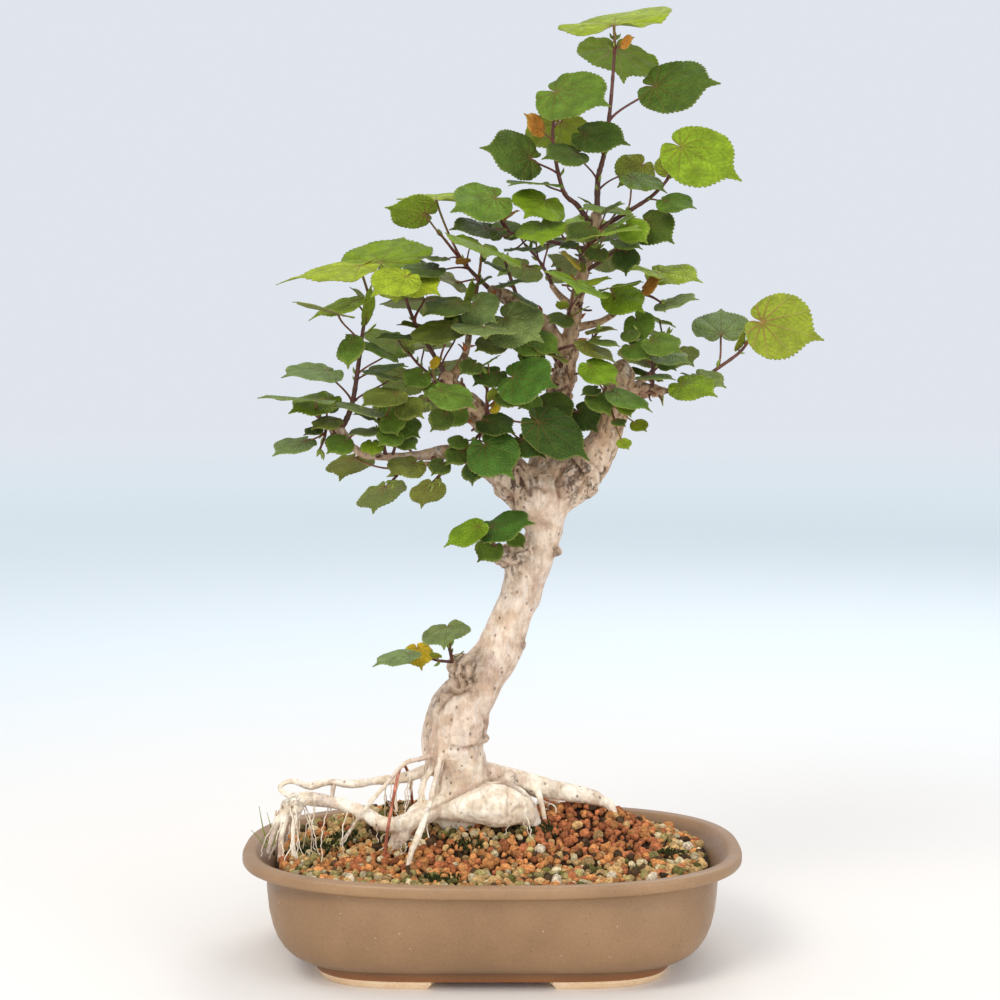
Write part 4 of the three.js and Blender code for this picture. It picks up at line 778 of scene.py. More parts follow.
def leaf_material():
    """Blade with palm-like main veins, side veins and a fine net, read from each point's place on it."""
    shade = Shade("leaf_blade", specular=0.16)
    tint = shade.attribute("tint")
    x, y, under = shade.parts(shade.attribute("traits", "Vector"))
    away = shade.length(x, y)
    main, side, side_gap = leaf_veins(shade, x, y, away)
    veins = shade.math("MAXIMUM", main, shade.times(side, 0.62))
    net = shade.rest(shade.fit(shade.cells(0.0021, feature="DISTANCE_TO_EDGE"), 0.02, 0.12))
    patches = shade.fit(shade.noise(0.009, detail=4), 0.3, 0.7, 0.74, 1.22)
    dots = shade.fit(shade.noise(0.0016, detail=2), 0.35, 0.7, 0.9, 1.1)
    body = shade.laid(shade.toned(tint, shade.times(patches, dots)), net, 0.1, linear(160, 165, 70))
    red = shade.fit(away, 0.05, 0.7, 0.75, 0.0)
    vein = shade.mix(red, shade.mix(0.34, tint, linear(196, 196, 96)), linear(124, 66, 44))
    back_vein = shade.mix(red, shade.mix(0.6, tint, linear(222, 208, 130)), linear(150, 86, 54))
    upper = shade.laid(body, veins, 0.5, vein)
    back = shade.laid(shade.mix(0.32, body, linear(150, 160, 74)), veins, 0.9, back_vein)
    colour = shade.mix(under, upper, back)
    quilt = shade.times(shade.fit(side_gap, 0.0, SIDE_VEIN_STEP / 2), 0.5)
    height = shade.times(shade.minus(quilt, veins), shade.rest(shade.times(under, 2.0)))
    height = shade.minus(height, shade.times(net, shade.rest(under), 0.12))
    normal = shade.bump(height, 0.00035)
    roughness = shade.fit(shade.noise(0.006, detail=3), 0.3, 0.7, 0.46, 0.66)
    let_light_through(shade, colour, normal)
    return shade.done(colour, normal, roughness)


def stem_material():
    """Young wood, petioles and buds: tinted, faintly streaked, with small pale pores."""
    shade = Shade("young_stem", roughness=0.5, specular=0.4)
    streaks = shade.noise(0.0018, detail=3, at=shade.place((1, 1, 0.35)))
    pores = shade.rest(shade.fit(shade.cells(0.0026), 0.1, 0.22))
    colour = shade.toned(shade.attribute("tint"), shade.fit(streaks, 0.3, 0.7, 0.7, 1.3))
    colour = shade.laid(colour, pores, 0.35, linear(190, 150, 120))
    return shade.done(colour, shade.bump(streaks, 0.0002))


def bark_material():
    """Pale bark with streaks and small brown pores and, where it is gnarled, flakes with painted highlights
    and painted shade in the clefts between them.
    """
    shade = Shade("pale_bark", roughness=0.8, specular=0.2)
    gnarled = shade.parts(shade.attribute("traits", "Vector"))[0]
    mottle = shade.fit(shade.noise(0.012, detail=7, rough=0.66), 0.34, 0.66)
    warm = shade.mix(shade.fit(mottle, 0.0, 1.0), (0.86, 0.76, 0.67), (1.12, 1.12, 1.12))
    grain = shade.noise(0.0026, detail=5, rough=0.65, at=shade.place((1, 1, 0.3)))
    colour = shade.toned(shade.attribute("tint"), warm)
    colour = shade.toned(colour, shade.fit(grain, 0.3, 0.7, 0.82, 1.12))
    pink = shade.fit(shade.noise(0.02, detail=4, warp=0.6), 0.5, 0.66)
    colour = shade.laid(colour, pink, 0.44, linear(172, 130, 112))
    scraped = shade.noise(0.008, detail=7, rough=0.7, at=shade.place((1.3, 1.3, 0.6)))
    colour = shade.laid(colour, shade.fit(scraped, 0.55, 0.64), 0.55, linear(236, 222, 208))
    pores = shade.rest(shade.fit(shade.cells(0.0052, at=shade.place((1, 1, 0.7))), 0.1, 0.2))
    pores = shade.times(pores, shade.fit(shade.noise(0.011, detail=2), 0.44, 0.54))
    colour = shade.laid(colour, pores, 0.62, linear(104, 72, 54))
    flakes = shade.noise(0.0052, detail=6, rough=0.72, at=shade.place((1.2, 1.2, 0.75)), warp=0.4)
    # Painted highlight on the raised flakes
    flake_highlight = shade.times(shade.fit(flakes, 0.52, 0.66), gnarled)
    colour = shade.laid(colour, flake_highlight, 0.6, linear(222, 198, 164))
    # Painted shade in the clefts between the flakes, which the relief also sinks
    cleft = shade.times(shade.rest(shade.fit(flakes, 0.38, 0.465)), gnarled)
    colour = shade.laid(colour, cleft, 0.72, linear(92, 62, 42))
    height = shade.plus(shade.times(grain, 0.6), shade.noise(0.006, detail=8, rough=0.68))
    height = shade.minus(height, shade.plus(shade.times(pores, 0.4), cleft))
    return shade.done(colour, shade.bump(height, 0.0017))


def glaze_material():
    """Taupe pot clay with a soft satin skin, darker and paler specks and paler sharp edges."""
    shade = Shade("pot_clay", specular=0.45)
    cloud = shade.fit(shade.noise(0.05, detail=5), 0.3, 0.7)
    colour = shade.mix(cloud, linear(139, 107, 75), linear(153, 119, 85))
    fine = shade.noise(0.0016, detail=3)
    colour = shade.toned(colour, shade.fit(fine, 0.3, 0.7, 0.94, 1.05))
    specks = shade.rest(shade.fit(shade.cells(0.0052), 0.05, 0.13))
    colour = shade.laid(colour, specks, 0.5, linear(92, 68, 54))
    pale_specks = shade.rest(shade.fit(shade.cells(0.009), 0.04, 0.08))
    colour = shade.laid(colour, pale_specks, 0.5, linear(206, 186, 164))
    edge = shade.fit(shade.node("ShaderNodeNewGeometry").outputs["Pointiness"], 0.52, 0.6)
    colour = shade.laid(colour, edge, 0.4, linear(176, 152, 124))
    colour = shade.toned(colour, shade.attribute("tint"))
    height = shade.plus(shade.times(fine, 0.25), shade.noise(0.012, detail=2))
    roughness = shade.fit(shade.noise(0.02, detail=4), 0.3, 0.7, 0.36, 0.5)
    return shade.done(colour, shade.bump(height, 0.0003), roughness)


def bare_clay_material():
    """Unglazed peach clay of the feet, sandy to the touch, made paler as painted light from the floor on feet
    in shade.
    """
    shade = Shade("bare_clay", roughness=0.85, specular=0.2)
    cloud = shade.fit(shade.noise(0.018, detail=4), 0.3, 0.7)
    # Pale peach: the clay's own colour, raised as painted bounce light from the floor
    colour = shade.mix(cloud, linear(238, 204, 164), linear(247, 222, 188))
    sand = shade.noise(0.0009, detail=2)
    colour = shade.toned(colour, shade.fit(sand, 0.3, 0.7, 0.88, 1.08))
    return shade.done(colour, shade.bump(sand, 0.0003))


def grit_material():
    """Fired clay grit and pumice: tinted grain by grain, dusty and pitted."""
    shade = Shade("fired_grit", roughness=0.9, specular=0.15)
    dust = shade.noise(0.0018, detail=5, rough=0.7)
    colour = shade.toned(shade.attribute("tint"), shade.fit(dust, 0.32, 0.68, 0.5, 1.42))
    height = shade.plus(dust, shade.times(shade.noise(0.0011, detail=3), 0.6))
    return shade.done(colour, shade.bump(height, 0.0014))


def copper_material():
    shade = Shade("copper_wire", specular=0.5)
    shade.shader.inputs["Metallic"].default_value = 0.55
    stain = shade.fit(shade.noise(0.008, detail=4), 0.35, 0.7)
    colour = shade.mix(stain, linear(214, 132, 104), linear(150, 84, 62))
    roughness = shade.fit(stain, 0.0, 1.0, 0.32, 0.6)
    return shade.done(colour, shade.bump(shade.noise(0.0015), 0.0001), roughness)


def mesh_material():
    shade = Shade("drain_mesh", roughness=0.55, specular=0.4)
    dust = shade.fit(shade.noise(0.006, detail=4), 0.4, 0.7)
    colour = shade.mix(dust, linear(34, 36, 40), linear(86, 76, 66))
    return shade.done(colour, shade.bump(shade.noise(0.001), 0.0002))


def floor_material():
    """Plain cream near the pot, turning to a pale blue-green and then to white, the white far out being
    painted light.
    """
    shade = Shade("pale_floor", roughness=1.0, specular=0.0)
    x, y, _ = shade.parts(shade.place())
    colour = linear(*FLOOR_NEAR)
    for start, end, tone in FLOOR_RINGS:
        colour = shade.mix(shade.fit(shade.length(x, y), start, end), colour, linear(*tone))
    return shade.done(colour)


# Pot
def oval_line(half_width, half_depth, angle, power):
    """Points of an oval at the given angles: the larger the power, the fuller its corners."""
    cos, sin = np.cos(angle), np.sin(angle)
    reach = (np.abs(cos) ** power + np.abs(sin) ** power) ** (-1 / power)
    return np.column_stack([half_width * reach * cos, half_depth * reach * sin])


def oval(half_width, half_depth, height, sides=POT_SIDES, power=OVAL_POWER):
    line = oval_line(half_width, half_depth, 2 * np.pi * np.arange(sides) / sides, power)
    return np.column_stack([line, np.full(sides, float(height))])


def pot_power(height):
    """The pot's outside is fuller at the corners near the table than at the rim."""
    return np.interp(height, [LOW_OVAL["low"], LOW_OVAL["high"]], [LOW_OVAL["power"], OVAL_POWER])


def cut_drains(piece):
    """Round holes through the pot's floor."""
    for side in (-1, 1):
        bpy.ops.mesh.primitive_cylinder_add(vertices=DRAIN["sides"], radius=DRAIN["radius"] * MM, depth=0.06)
        cutter = bpy.context.object
        cutter.location = (np.array([side * DRAIN["offset"], 0, 0]) + MIDDLE) * MM
        bpy.context.view_layer.update()
        cut = piece.modifiers.new("drain", "BOOLEAN")
        cut.operation, cut.object, cut.solver = "DIFFERENCE", cutter, "EXACT"
        made = with_modifiers(piece)
        piece.modifiers.clear()
        piece.data = made
        bpy.data.objects.remove(cutter)


def foot_corner(shape, sign_x, sign_y):
    """One of the four feet: a curved block under the pot's edge, cut off at the gaps between feet."""
    power = LOW_OVAL["power"]
    angle = np.linspace(0, np.pi / 2, 400)
    outer = oval_line(FOOT["width"], FOOT["depth"], angle, power)
    kept = angle[(outer[:, 0] > FOOT["front_gap"]) & (outer[:, 1] > FOOT["side_gap"])]
    angle = np.linspace(kept[0], kept[-1], FOOT_STEPS)
    loops = []
    for height, inset in FOOT_LEVELS:
        spread = angle + np.linspace(1, -1, FOOT_STEPS) * inset * FOOT_END_TAPER / FOOT["width"]
        outside, inside = [
            oval_line(FOOT["width"] - wall, FOOT["depth"] - wall, spread, power) * (sign_x, sign_y)
            for wall in (inset, FOOT["wall"] - inset)
        ]
        loops.append(np.column_stack([np.vstack([outside, inside[::-1]]), np.full(2 * FOOT_STEPS, height)]))
    sides = 2 * FOOT_STEPS
    faces = ring_faces(len(loops), sides)
    faces += [tuple(range(sides))[::-1], tuple((len(loops) - 1) * sides + k for k in range(sides))]
    if sign_x * sign_y < 0:
        faces = [face[::-1] for face in faces]
    shape.add(np.vstack(loops), faces, slot=1, smooth=False)


def pot_tints():
    """Share of the glaze's colour on each level of the pot, with painted bounce light on the bottom edge,
    painted shade on the step and inside, and painted light on the rim.
    """
    return (
        [BOUNCE_LIT_EDGE_TINT] * BOUNCE_LIT_EDGE_LEVELS + [BAND_TINT] * (len(POT_BAND) - BOUNCE_LIT_EDGE_LEVELS)
        + [SHADED_STEP_TINT] * STEP_LEVELS + [BODY_TINT] * (len(POT_BODY) - STEP_LEVELS)
        + [LIT_RIM_TINT] * len(POT_RIM) + [SHADED_INSIDE_TINT] * len(POT_INSIDE)
    )


def make_pot():
    shape = Shape()
    levels = POT_BAND + POT_BODY + POT_RIM + POT_INSIDE
    rings = [oval(width, depth, height, power=pot_power(height)) for height, width, depth in levels]
    points = np.vstack([*rings, [[0, 0, FOOT_HEIGHT], [0, 0, FLOOR_TOP]]])
    tint = np.vstack([np.repeat(pot_tints(), POT_SIDES, axis=0), [SHADED_INSIDE_TINT] * 2])
    shape.add(points, closed_faces(len(levels), POT_SIDES), tint)
    pot = shape.build("clay_pot_body", glaze_material())
    cut_drains(pot)
    feet = Shape()
    for sign_x, sign_y in ((1, 1), (-1, 1), (-1, -1), (1, -1)):
        foot_corner(feet, sign_x, sign_y)
    return pot, feet.build("clay_pot_feet", pot.data.materials[0], bare_clay_material())


# Soil
def oval_share(x, y, half_width, half_depth):
    """How far out places lie in an oval: below 1 inside it."""
    return (np.abs(x) / half_width) ** OVAL_POWER + (np.abs(y) / half_depth) ** OVAL_POWER


def soil_level(x, y):
    fade = np.clip((0.86 - oval_share(x, y, RIM["half_width"], RIM["half_depth"])) / 0.3, 0, 1)
    heaped = sum(
        height * np.exp(-((x - at_x) / spread_x) ** 2 - ((y - at_y) / spread_y) ** 2)
        for at_x, at_y, height, spread_x, spread_y in HEAPS
    )
    return SOIL_EDGE + heaped * fade


def make_soil_bed(grit):
    """Body of the soil below its loose grains, dark as painted shade in the gaps between them."""
    shape = Shape()
    rings = [oval(width, depth, height, BED_SIDES, pot_power(height)) for height, width, depth in BED_WALL]
    for share in BED_RINGS:
        ring = oval(SOIL_WALL[0] * share - BED_GAP, SOIL_WALL[1] * share - BED_GAP, 0, BED_SIDES)
        ring[:, 2] = soil_level(ring[:, 0], ring[:, 1]) - BED_DEPTH
        rings.append(ring)
    middles = [[0, 0, BED_FLOOR], [0, 0, soil_level(0.0, 0.0) - BED_DEPTH]]
    shape.add(np.vstack([*rings, middles]), closed_faces(len(rings), BED_SIDES), linear(*BED_SHADE_TONE))
    return shape.build("soil_bed", grit)


def in_oval(x, y, middle_x, middle_y, half_x, half_y):
    return ((x - middle_x) / half_x) ** 2 + ((y - middle_y) / half_y) ** 2 < 1


def grain_mix(x, y):
    """Grains at a place: reddish right of the trunk and in a band to the left, and pale at the left end."""
    if in_oval(x, y, *RED_HEAP):
        return MIXES["red_heap"]
    if in_oval(x, y, *RED_BAND):
        return MIXES["red_band"]
    if x < PALE_LEFT or (x < PALE_FRONT[0] and y < PALE_FRONT[1]):
        return MIXES["pale_left"]
    return MIXES["plain"]


def grain_spots(rng):
    """Places in uneven rows for the loose grains, with their radii and how far they stand out."""
    rows = int(2 * SOIL_WALL[1] / (GRAIN_PITCH * GRAIN_ROW))
    columns = int(2 * SOIL_WALL[0] / GRAIN_PITCH)
    for row in range(rows + 1):
        for column in range(columns + 1):
            shift = (row % 2) * 0.5 + rng.uniform(-GRAIN_STRAY, GRAIN_STRAY)
            x = (column - columns / 2 + shift) * GRAIN_PITCH
            y = (row - rows / 2 + rng.uniform(-GRAIN_STRAY, GRAIN_STRAY)) * GRAIN_PITCH * GRAIN_ROW
            radius = rng.lognormvariate(math.log(GRAIN_RADIUS["middle"]), GRAIN_RADIUS["spread"])
            yield x, y, min(radius, GRAIN_RADIUS["largest"]), rng.uniform(*GRAIN_LIFT)


def add_grain(shape, lump, rng, at, radius, tone, crumbly=False):
    """Lump of grit: with flat sides, or crumbly and rounded."""
    points, faces = lump
    large, small = (0.3, 0.3) if crumbly else (0.26, 0.16)
    lumps = 1 + large * noise(points + rng.uniform(0, 90), 0.9, 3)
    lumps += small * noise(points + rng.uniform(0, 90), 0.45, 5)
    squash = np.array([1, rng.uniform(0.75, 1), rng.uniform(0.6, 0.9)])
    body = (points * lumps[:, None] * squash * radius) @ turned(rng).T
    shape.add(body + np.array(at), faces, np.clip(tone, 0, 1), smooth=crumbly)


def make_grains(grit):
    shape = Shape()
    rng = random.Random(41)
    lump = ball(1)
    for x, y, radius, lift in list(grain_spots(rng)):
        if oval_share(x, y, SOIL_WALL[0] - radius, SOIL_WALL[1] - radius) > 1:
            continue
        mix = grain_mix(x, y)
        kind = rng.choices(list(mix), list(mix.values()))[0]
        tone = linear(*GRAIN_TONES[kind]) * rng.uniform(*GRAIN_SHADES)
        at = (x, y, soil_level(x, y) + lift - GRAIN_SUNK)
        add_grain(shape, lump, rng, at, radius, tone, crumbly=kind in CRUMBLY)
    for across, down, depth, radius in STONES:
        x, y, _ = seen(across, down, depth)
        add_grain(shape, lump, rng, (x, y, soil_level(x, y) + radius * 0.5), radius, linear(*STONE_TONE))
    return shape.build("soil_grains", grit)


def make_moss(matte):
    """Moss cushions and a few grass blades."""
    shape = Shape()
    rng = random.Random(7)
    for across, down, depth, spread, tufts in MOSS:
        centre = seen(across, down, depth)
        for _ in range(tufts):
            x, y = centre[:2] + stray(rng, spread, spread * 0.7)
            base = np.array([x, y, soil_level(x, y) + 0.6])
            tip = base + (rng.gauss(0, 0.9), rng.gauss(0, 0.9), rng.uniform(2.0, 3.4))
            green = linear(*rng.choice(MOSS_TONES))
            tube(shape, [base, (base + tip) / 2 + (0, 0, 0.3), tip], MOSS_RADII, 3, green)
    for steps, width in GRASS:
        path = spline([seen(*step) for step in steps], 6)
        tube(shape, path, np.linspace(width, GRASS_TIP, len(path)), 4, linear(*GRASS_TONE))
    return shape.build("moss_and_grass", matte)


# Tree
def limb_mesh():
    """All the thick wood as closed limbs that run through each other."""
    shape = Shape()

    def trunk_flute(angles, share):
        return 1 + 0.045 * np.sin(3 * angles + share * 7) + 0.025 * np.sin(5 * angles - share * 12)

    tube(shape, *wood_path(TRUNK), TRUNK_SIDES, flute=trunk_flute)
    for steps in (RIGHT_LIMB, RIGHT_STUB, LEADER, MIDDLE_LEFT_LIMB, LOWER_LEFT_LIMB, GNARLED_BRANCH):
        tube(shape, *wood_path(steps), LIMB_SIDES)
    for steps in ROOTS.values():
        if steps[0][3] >= FUSED_RADIUS:
            tube(shape, *wood_path(steps), ROOT_SIDES)
    points, faces = ball(2)
    for at, radius in KNOTS:
        shape.add(points * radius + seen(*at), faces)
    return shape.build("tree_draft")


def fused_wood():
    """Points, normals and faces of the thick wood, grown together."""
    draft = limb_mesh()
    fuse = draft.modifiers.new("fuse", "REMESH")
    fuse.mode = "VOXEL"
    fuse.voxel_size = WOOD_VOXEL * MM
    soften = draft.modifiers.new("soften", "SMOOTH")
    soften.factor, soften.iterations = WOOD_SOFTENING
    made = with_modifiers(draft)
    bpy.data.objects.remove(draft)
    read = []
    for name in ("co", "normal"):
        values = np.empty(3 * len(made.vertices), np.float32)
        made.vertices.foreach_get(name, values)
        read.append(values.reshape(-1, 3))
    return read[0] / MM - MIDDLE, read[1], [tuple(face.vertices) for face in made.polygons]


def gnarl_strength(points):
    """How gnarled the wood is at each point."""
    rough = np.zeros(len(points))
    for across, down, depth, reach, strength in GNARLED:
        away = np.linalg.norm(points - seen(across, down, depth), axis=1)
        rough = np.maximum(rough, strength * np.clip(1.5 - away / reach, 0, 1))
    return rough


def cleft_depths(points, normals):
    """Depth of the clefts at each point, where the wood faces the viewer."""
    toward = EYE - points
    faced = np.sum(normals * toward, axis=1) / np.linalg.norm(toward, axis=1)
    places = picture_of(points)
    cleft = np.zeros(len(points))
    for line, width, deep in CLEFTS:
        cleft = np.maximum(cleft, deep * np.exp(-(line_gap(places, line) / width) ** 2))
    return cleft * np.clip(3 * faced, 0, 1)


def add_thick_wood(shape):
    """The trunk, limbs and thick roots with their relief, pale at the foot and brown in the crown, with
    painted shade in their clefts, folds and hollows.
    """
    points, normals, faces = fused_wood()
    rough = gnarl_strength(points)
    cleft = cleft_depths(points, normals)
    swell = 0.6 * noise(points, 13, 1) + 0.35 * noise(points, 5, 2)
    ridges = 0.35 * noise(points * (1, 1, 0.4), 2.6, 3)
    folds = np.exp(-(noise(points * (1, 1, 0.6), 9, 9) / 0.075) ** 2)
    gnarl = rough * (1.3 * noise(points, 7, 10) + 1.1 * noise(points, 3.2, 11) + 0.4 - 1.8 * folds)
    points = points + normals * (swell + ridges + gnarl - cleft)[:, None]
    height = points[:, 2]
    tint = blend(linear(*TRUNK_TONE), linear(*FOOT_TONE), np.clip((150 - height) / 45, 0, 1))
    upper = np.clip((height - 300) / 45 + 0.25 * noise(points, 15, 12), 0, 1)
    tint = blend(tint, linear(*BROWN_TONE), np.clip(np.maximum(0.85 * upper, 0.3 * rough), 0, 1))
    # Painted shade where the wood is pushed in: hollows, folds and clefts
    hollow = np.clip(-noise(points, 3.2, 11) - 0.25, 0, 1) * rough
    dark = np.maximum(0.38 * folds * rough + 0.28 * hollow, cleft / 3.4)
    tint = blend(tint, linear(*CLEFT_SHADE_TONE), np.clip(dark, 0, 0.75))
    gnarled = np.maximum(rough, 0.5 * upper)
    shape.add(points, faces, tint, np.outer(gnarled, (1, 0, 0)))


def add_thin_wood(shape):
    """Twigs and rootlets too fine for the fused wood, each begun inside it."""
    for steps in (DEAD_TWIG, INNER_TWIG, RIGHT_TWIG, BACK_TWIG, BACK_LEFT_TWIG, BACK_RIGHT_TWIG):
        path, radii = wood_path(steps, 8)
        radii = radii * (1 + 0.12 * noise(path, 6, 4))
        tube(shape, path, radii, 10, linear(*BROWN_TONE), traits=(0.6, 0, 0))
    for steps in ROOTS.values():
        if steps[0][3] < FUSED_RADIUS:
            path, radii = wood_path(steps, 8)
            path = path + 0.5 * np.column_stack([noise(path, 9, seed) for seed in (6, 7, 8)])
            tube(shape, path, radii, 8, linear(*FOOT_TONE))


def add_rootlets(shape):
    """Fine roots: a bunch that drops from the left root's end, and strands by the roots and the trunk."""
    rng = random.Random(19)
    for start, end, count, thick in ROOTLETS:
        for _ in range(count):
            first = seen(*start) + stray(rng, 2.2, 2.4, 0.8)
            last = seen(*end) + (rng.gauss(0, 7), rng.gauss(0, 6), 0)
            last[2] = soil_level(last[0], last[1]) - 1
            middle = (first + last) / 2 + (rng.gauss(0, 3), rng.gauss(0, 3), rng.uniform(0, 3))
            path = spline([first, middle, last], 8)
            path[1:-1] += 0.5 * np.array([stray(rng, 1, 1, 1) for _ in path[1:-1]])
            width = rng.uniform(0.6, 1.0) * thick
            tube(shape, path, np.linspace(width, width * 0.55, len(path)), 5, linear(*FOOT_TONE))


def add_spurs(shape):
    """Short dead stubs and dry scales on the upper limbs."""
    rng = random.Random(23)
    for steps, count in SPURS:
        path, radii = wood_path(steps)
        for _ in range(count):
            at = rng.randrange(len(path) // 4, len(path) - 2)
            run = unit(path[at + 1] - path[at - 1])
            out = unit(np.cross(run, stray(rng, 1, 1, 1)))
            first = path[at] + out * radii[at] * 0.7
            aim = unit(out * rng.uniform(0.6, 1) + run * rng.uniform(-0.1, 0.9))
            size = rng.uniform(4, 10)
            bent = first + aim * size * 0.5 + stray(rng, 0.6, 0.6, 0.6)
            spur = spline([first, bent, first + aim * size], 3)
            dry = rng.random() < SCALE_CHANCE
            thick = rng.uniform(0.5, 1.1)
            tone = rng.choice(SCALE_TONES) if dry else SPUR_TONE
            shares = np.array(SCALE_SHARES if dry else SPUR_SHARES)
            tube(shape, spur, thick * shares, 6, linear(*tone), traits=(0 if dry else 0.5, 0, 0))


def make_tree():
    shape = Shape()
    add_thick_wood(shape)
    add_thin_wood(shape)
    add_rootlets(shape)
    add_spurs(shape)
    return shape.build("bonsai_wood", bark_material())


def make_wire():
    shape = Shape()
    tube(shape, spline([seen(*step) for step in WIRE], 8), WIRE_RADIUS, 12)
    return shape.build("copper_tie_wire", copper_material())


# Leaves
@dataclass
class Leaf:
    """One leaf: the picture places of its joint and its tip, its length in millimetres, whether the tip lies
    nearer or farther than the joint, its lean in degrees, its tone, how far in millimetres the joint lies
    behind its twig, and its width as a share of the usual.
    """

    joint: tuple
    tip: tuple
    length: float
    reach: int
    lean: float
    tone: str
    depth: float = None
    width: float = 1.0

    def __post_init__(self):
        if self.depth is None:
            self.depth = LEAF_DEPTH * self.reach


def leaf_frame(joint, row):
    """Directions along a blade, out of its upper side and across it, so that its tip is seen at its place."""
    line = unit(sight_line(*row.tip))
    to_joint = joint - EYE
    along = np.dot(to_joint, line)
    miss = np.dot(to_joint, to_joint) - along ** 2
    reach = math.sqrt(max(row.length ** 2 - miss, 0))
    axis = unit(EYE + line * (along + row.reach * reach) - joint)
    upright = unit(np.array([0, 0, 1]) - axis * axis[2])
    facing = 1 if row.tip[0] - row.joint[0] > TURNS_LEFT else -1
    lean = math.radians(row.lean) * facing
    normal = upright * math.cos(lean) + np.cross(axis, upright) * math.sin(lean)
    return axis, normal, np.cross(normal, axis)


def blade_spokes(teeth, samples, rng):
    """Edge of a blade as angles and reaches, an even way apart, and the cut of its uneven rounded teeth."""
    half = spline(BLADE_EDGE, 6)
    angle = np.radians(np.concatenate([-half[::-1, 0], half[1:, 0]]))
    reach = np.concatenate([half[::-1, 1], half[1:, 1]])
    x, y = reach * np.cos(angle), reach * np.sin(angle)
    run = np.concatenate([[0], np.cumsum(np.hypot(np.diff(x), np.diff(y)))])
    count = teeth * samples + 1
    at = np.linspace(0, run[-1], count)
    phase = (np.arange(count) % samples) / samples
    depth = np.repeat([rng.uniform(*TOOTH_DEPTHS) for _ in range(teeth + 1)], samples)[:count]
    cut = 1 - depth * (1 - np.sin(np.pi * phase) ** 0.8)
    return np.interp(at, run, angle), np.interp(at, run, reach), cut


def blade_places(shares, angle, reach, cut):
    """Flat places of a blade's points, joint first: along, across, share of the way out, and angle."""
    share = np.array(shares)[:, None]
    out = reach * share * np.where(share >= 1, cut, 1)
    parts = (out * np.cos(angle), out * np.sin(angle), share + 0 * angle, 0 * share + angle)
    return [np.concatenate([[0], part.ravel()]) for part in parts]


def wave(rng, heights, counts, angles):
    return rng.uniform(*heights) * np.sin(rng.choice(counts) * angles + rng.uniform(0, 6.3))


def blade_lift(rng, x, y, out, angles):
    """How far a blade's points lie over a plane: hills between the veins, waves, a fold and drooping ends."""
    hills = np.abs(np.sin(np.pi * np.abs(angles) * (1 - VEIN_WINDING * np.abs(angles)) / MAIN_VEIN_STEP))
    waves = wave(rng, (0.012, 0.03), [3, 4, 5], angles) * out ** 2
    waves += wave(rng, (0.004, 0.01), [7, 9, 11], angles) * out ** 3
    fold = FOLD * rng.uniform(0.7, 1.5)
    droop = DROOP * rng.uniform(0.6, 1.6)
    lift = -fold * (np.hypot(y, FOLD_ROUNDING) - FOLD_ROUNDING) - droop * x * np.abs(x)
    lift += HILL_HEIGHT * hills * out * (2 - out) + waves
    return lift - TIP_CURL * np.clip(x - 0.82, 0, 1) + NOTCH_LIFT * np.clip(-x, 0, 1)


def blade_faces(spokes, rings):
    """Faces of a blade's upper side, and the corners round its rim."""
    faces = [(0, 1 + k, 2 + k) for k in range(spokes - 1)]
    for i in range(rings - 1):
        for k in range(spokes - 1):
            a = 1 + i * spokes + k
            faces.append((a, a + spokes, a + spokes + 1, a + 1))
    last = 1 + (rings - 1) * spokes
    rim = [0, *range(1, last + 1, spokes), *range(last + 1, last + spokes), *range(last - 1, 0, -spokes)]
    return faces, rim


def add_blade(shape, joint, row, name, order):
    rng = random.Random(f"{name} {order}")
    axis, normal, side = leaf_frame(joint, row)
    teeth, samples, shares = next(size[1:] for size in BLADE_SIZES if row.length >= size[0])
    spokes = blade_spokes(teeth, samples, rng)
    x, y, out, angles = blade_places(shares, *spokes)
    lift = blade_lift(rng, x, y, out, angles)
    bend = rng.uniform(-TIP_BEND, TIP_BEND) * np.clip(x - 0.75, 0, 1)
    middle = joint + row.length * (
        np.outer(x, axis) + np.outer(y * row.width + bend, side) + np.outer(lift, normal)
    )
    half = normal * BLADE_THICKNESS / 2
    count = len(x)
    faces, rim = blade_faces(len(spokes[0]), len(shares))
    under = [tuple(count + corner for corner in face[::-1]) for face in faces]
    walls = [(a, count + a, count + b, b) for a, b in zip(rim, rim[1:] + rim[:1])]
    tone = linear(*TONES[row.tone]) * rng.uniform(0.88, 1.14)
    tone = tone * (rng.uniform(0.94, 1.08), 1, rng.uniform(0.85, 1.15))
    tint = blend(tone, linear(*MARGIN_TONE), np.where(out >= 1, MARGIN_SHARE, 0))
    traits = [np.column_stack([x, y, np.full(count, under_side)]) for under_side in (0.0, 1.0)]
    smooth = [True] * (2 * len(faces)) + [False] * len(walls)
    points = np.vstack([middle + half, middle - half])
    shape.add(points, faces + under + walls, np.vstack([tint, tint]), np.vstack(traits), smooth=smooth)
    return axis, normal


def along_twig(twig, run):
    """Place on a twig after a way along it in the picture, and its direction there."""
    spans = [math.dist(start[:2], end[:2]) for start, end in zip(twig, twig[1:])]
    at = 0
    while at < len(spans) - 1 and run > spans[at]:
        run -= spans[at]
        at += 1
    first, last = seen(*twig[at]), seen(*twig[at + 1])
    return first + (last - first) * min(run / spans[at], 1), unit(last - first)


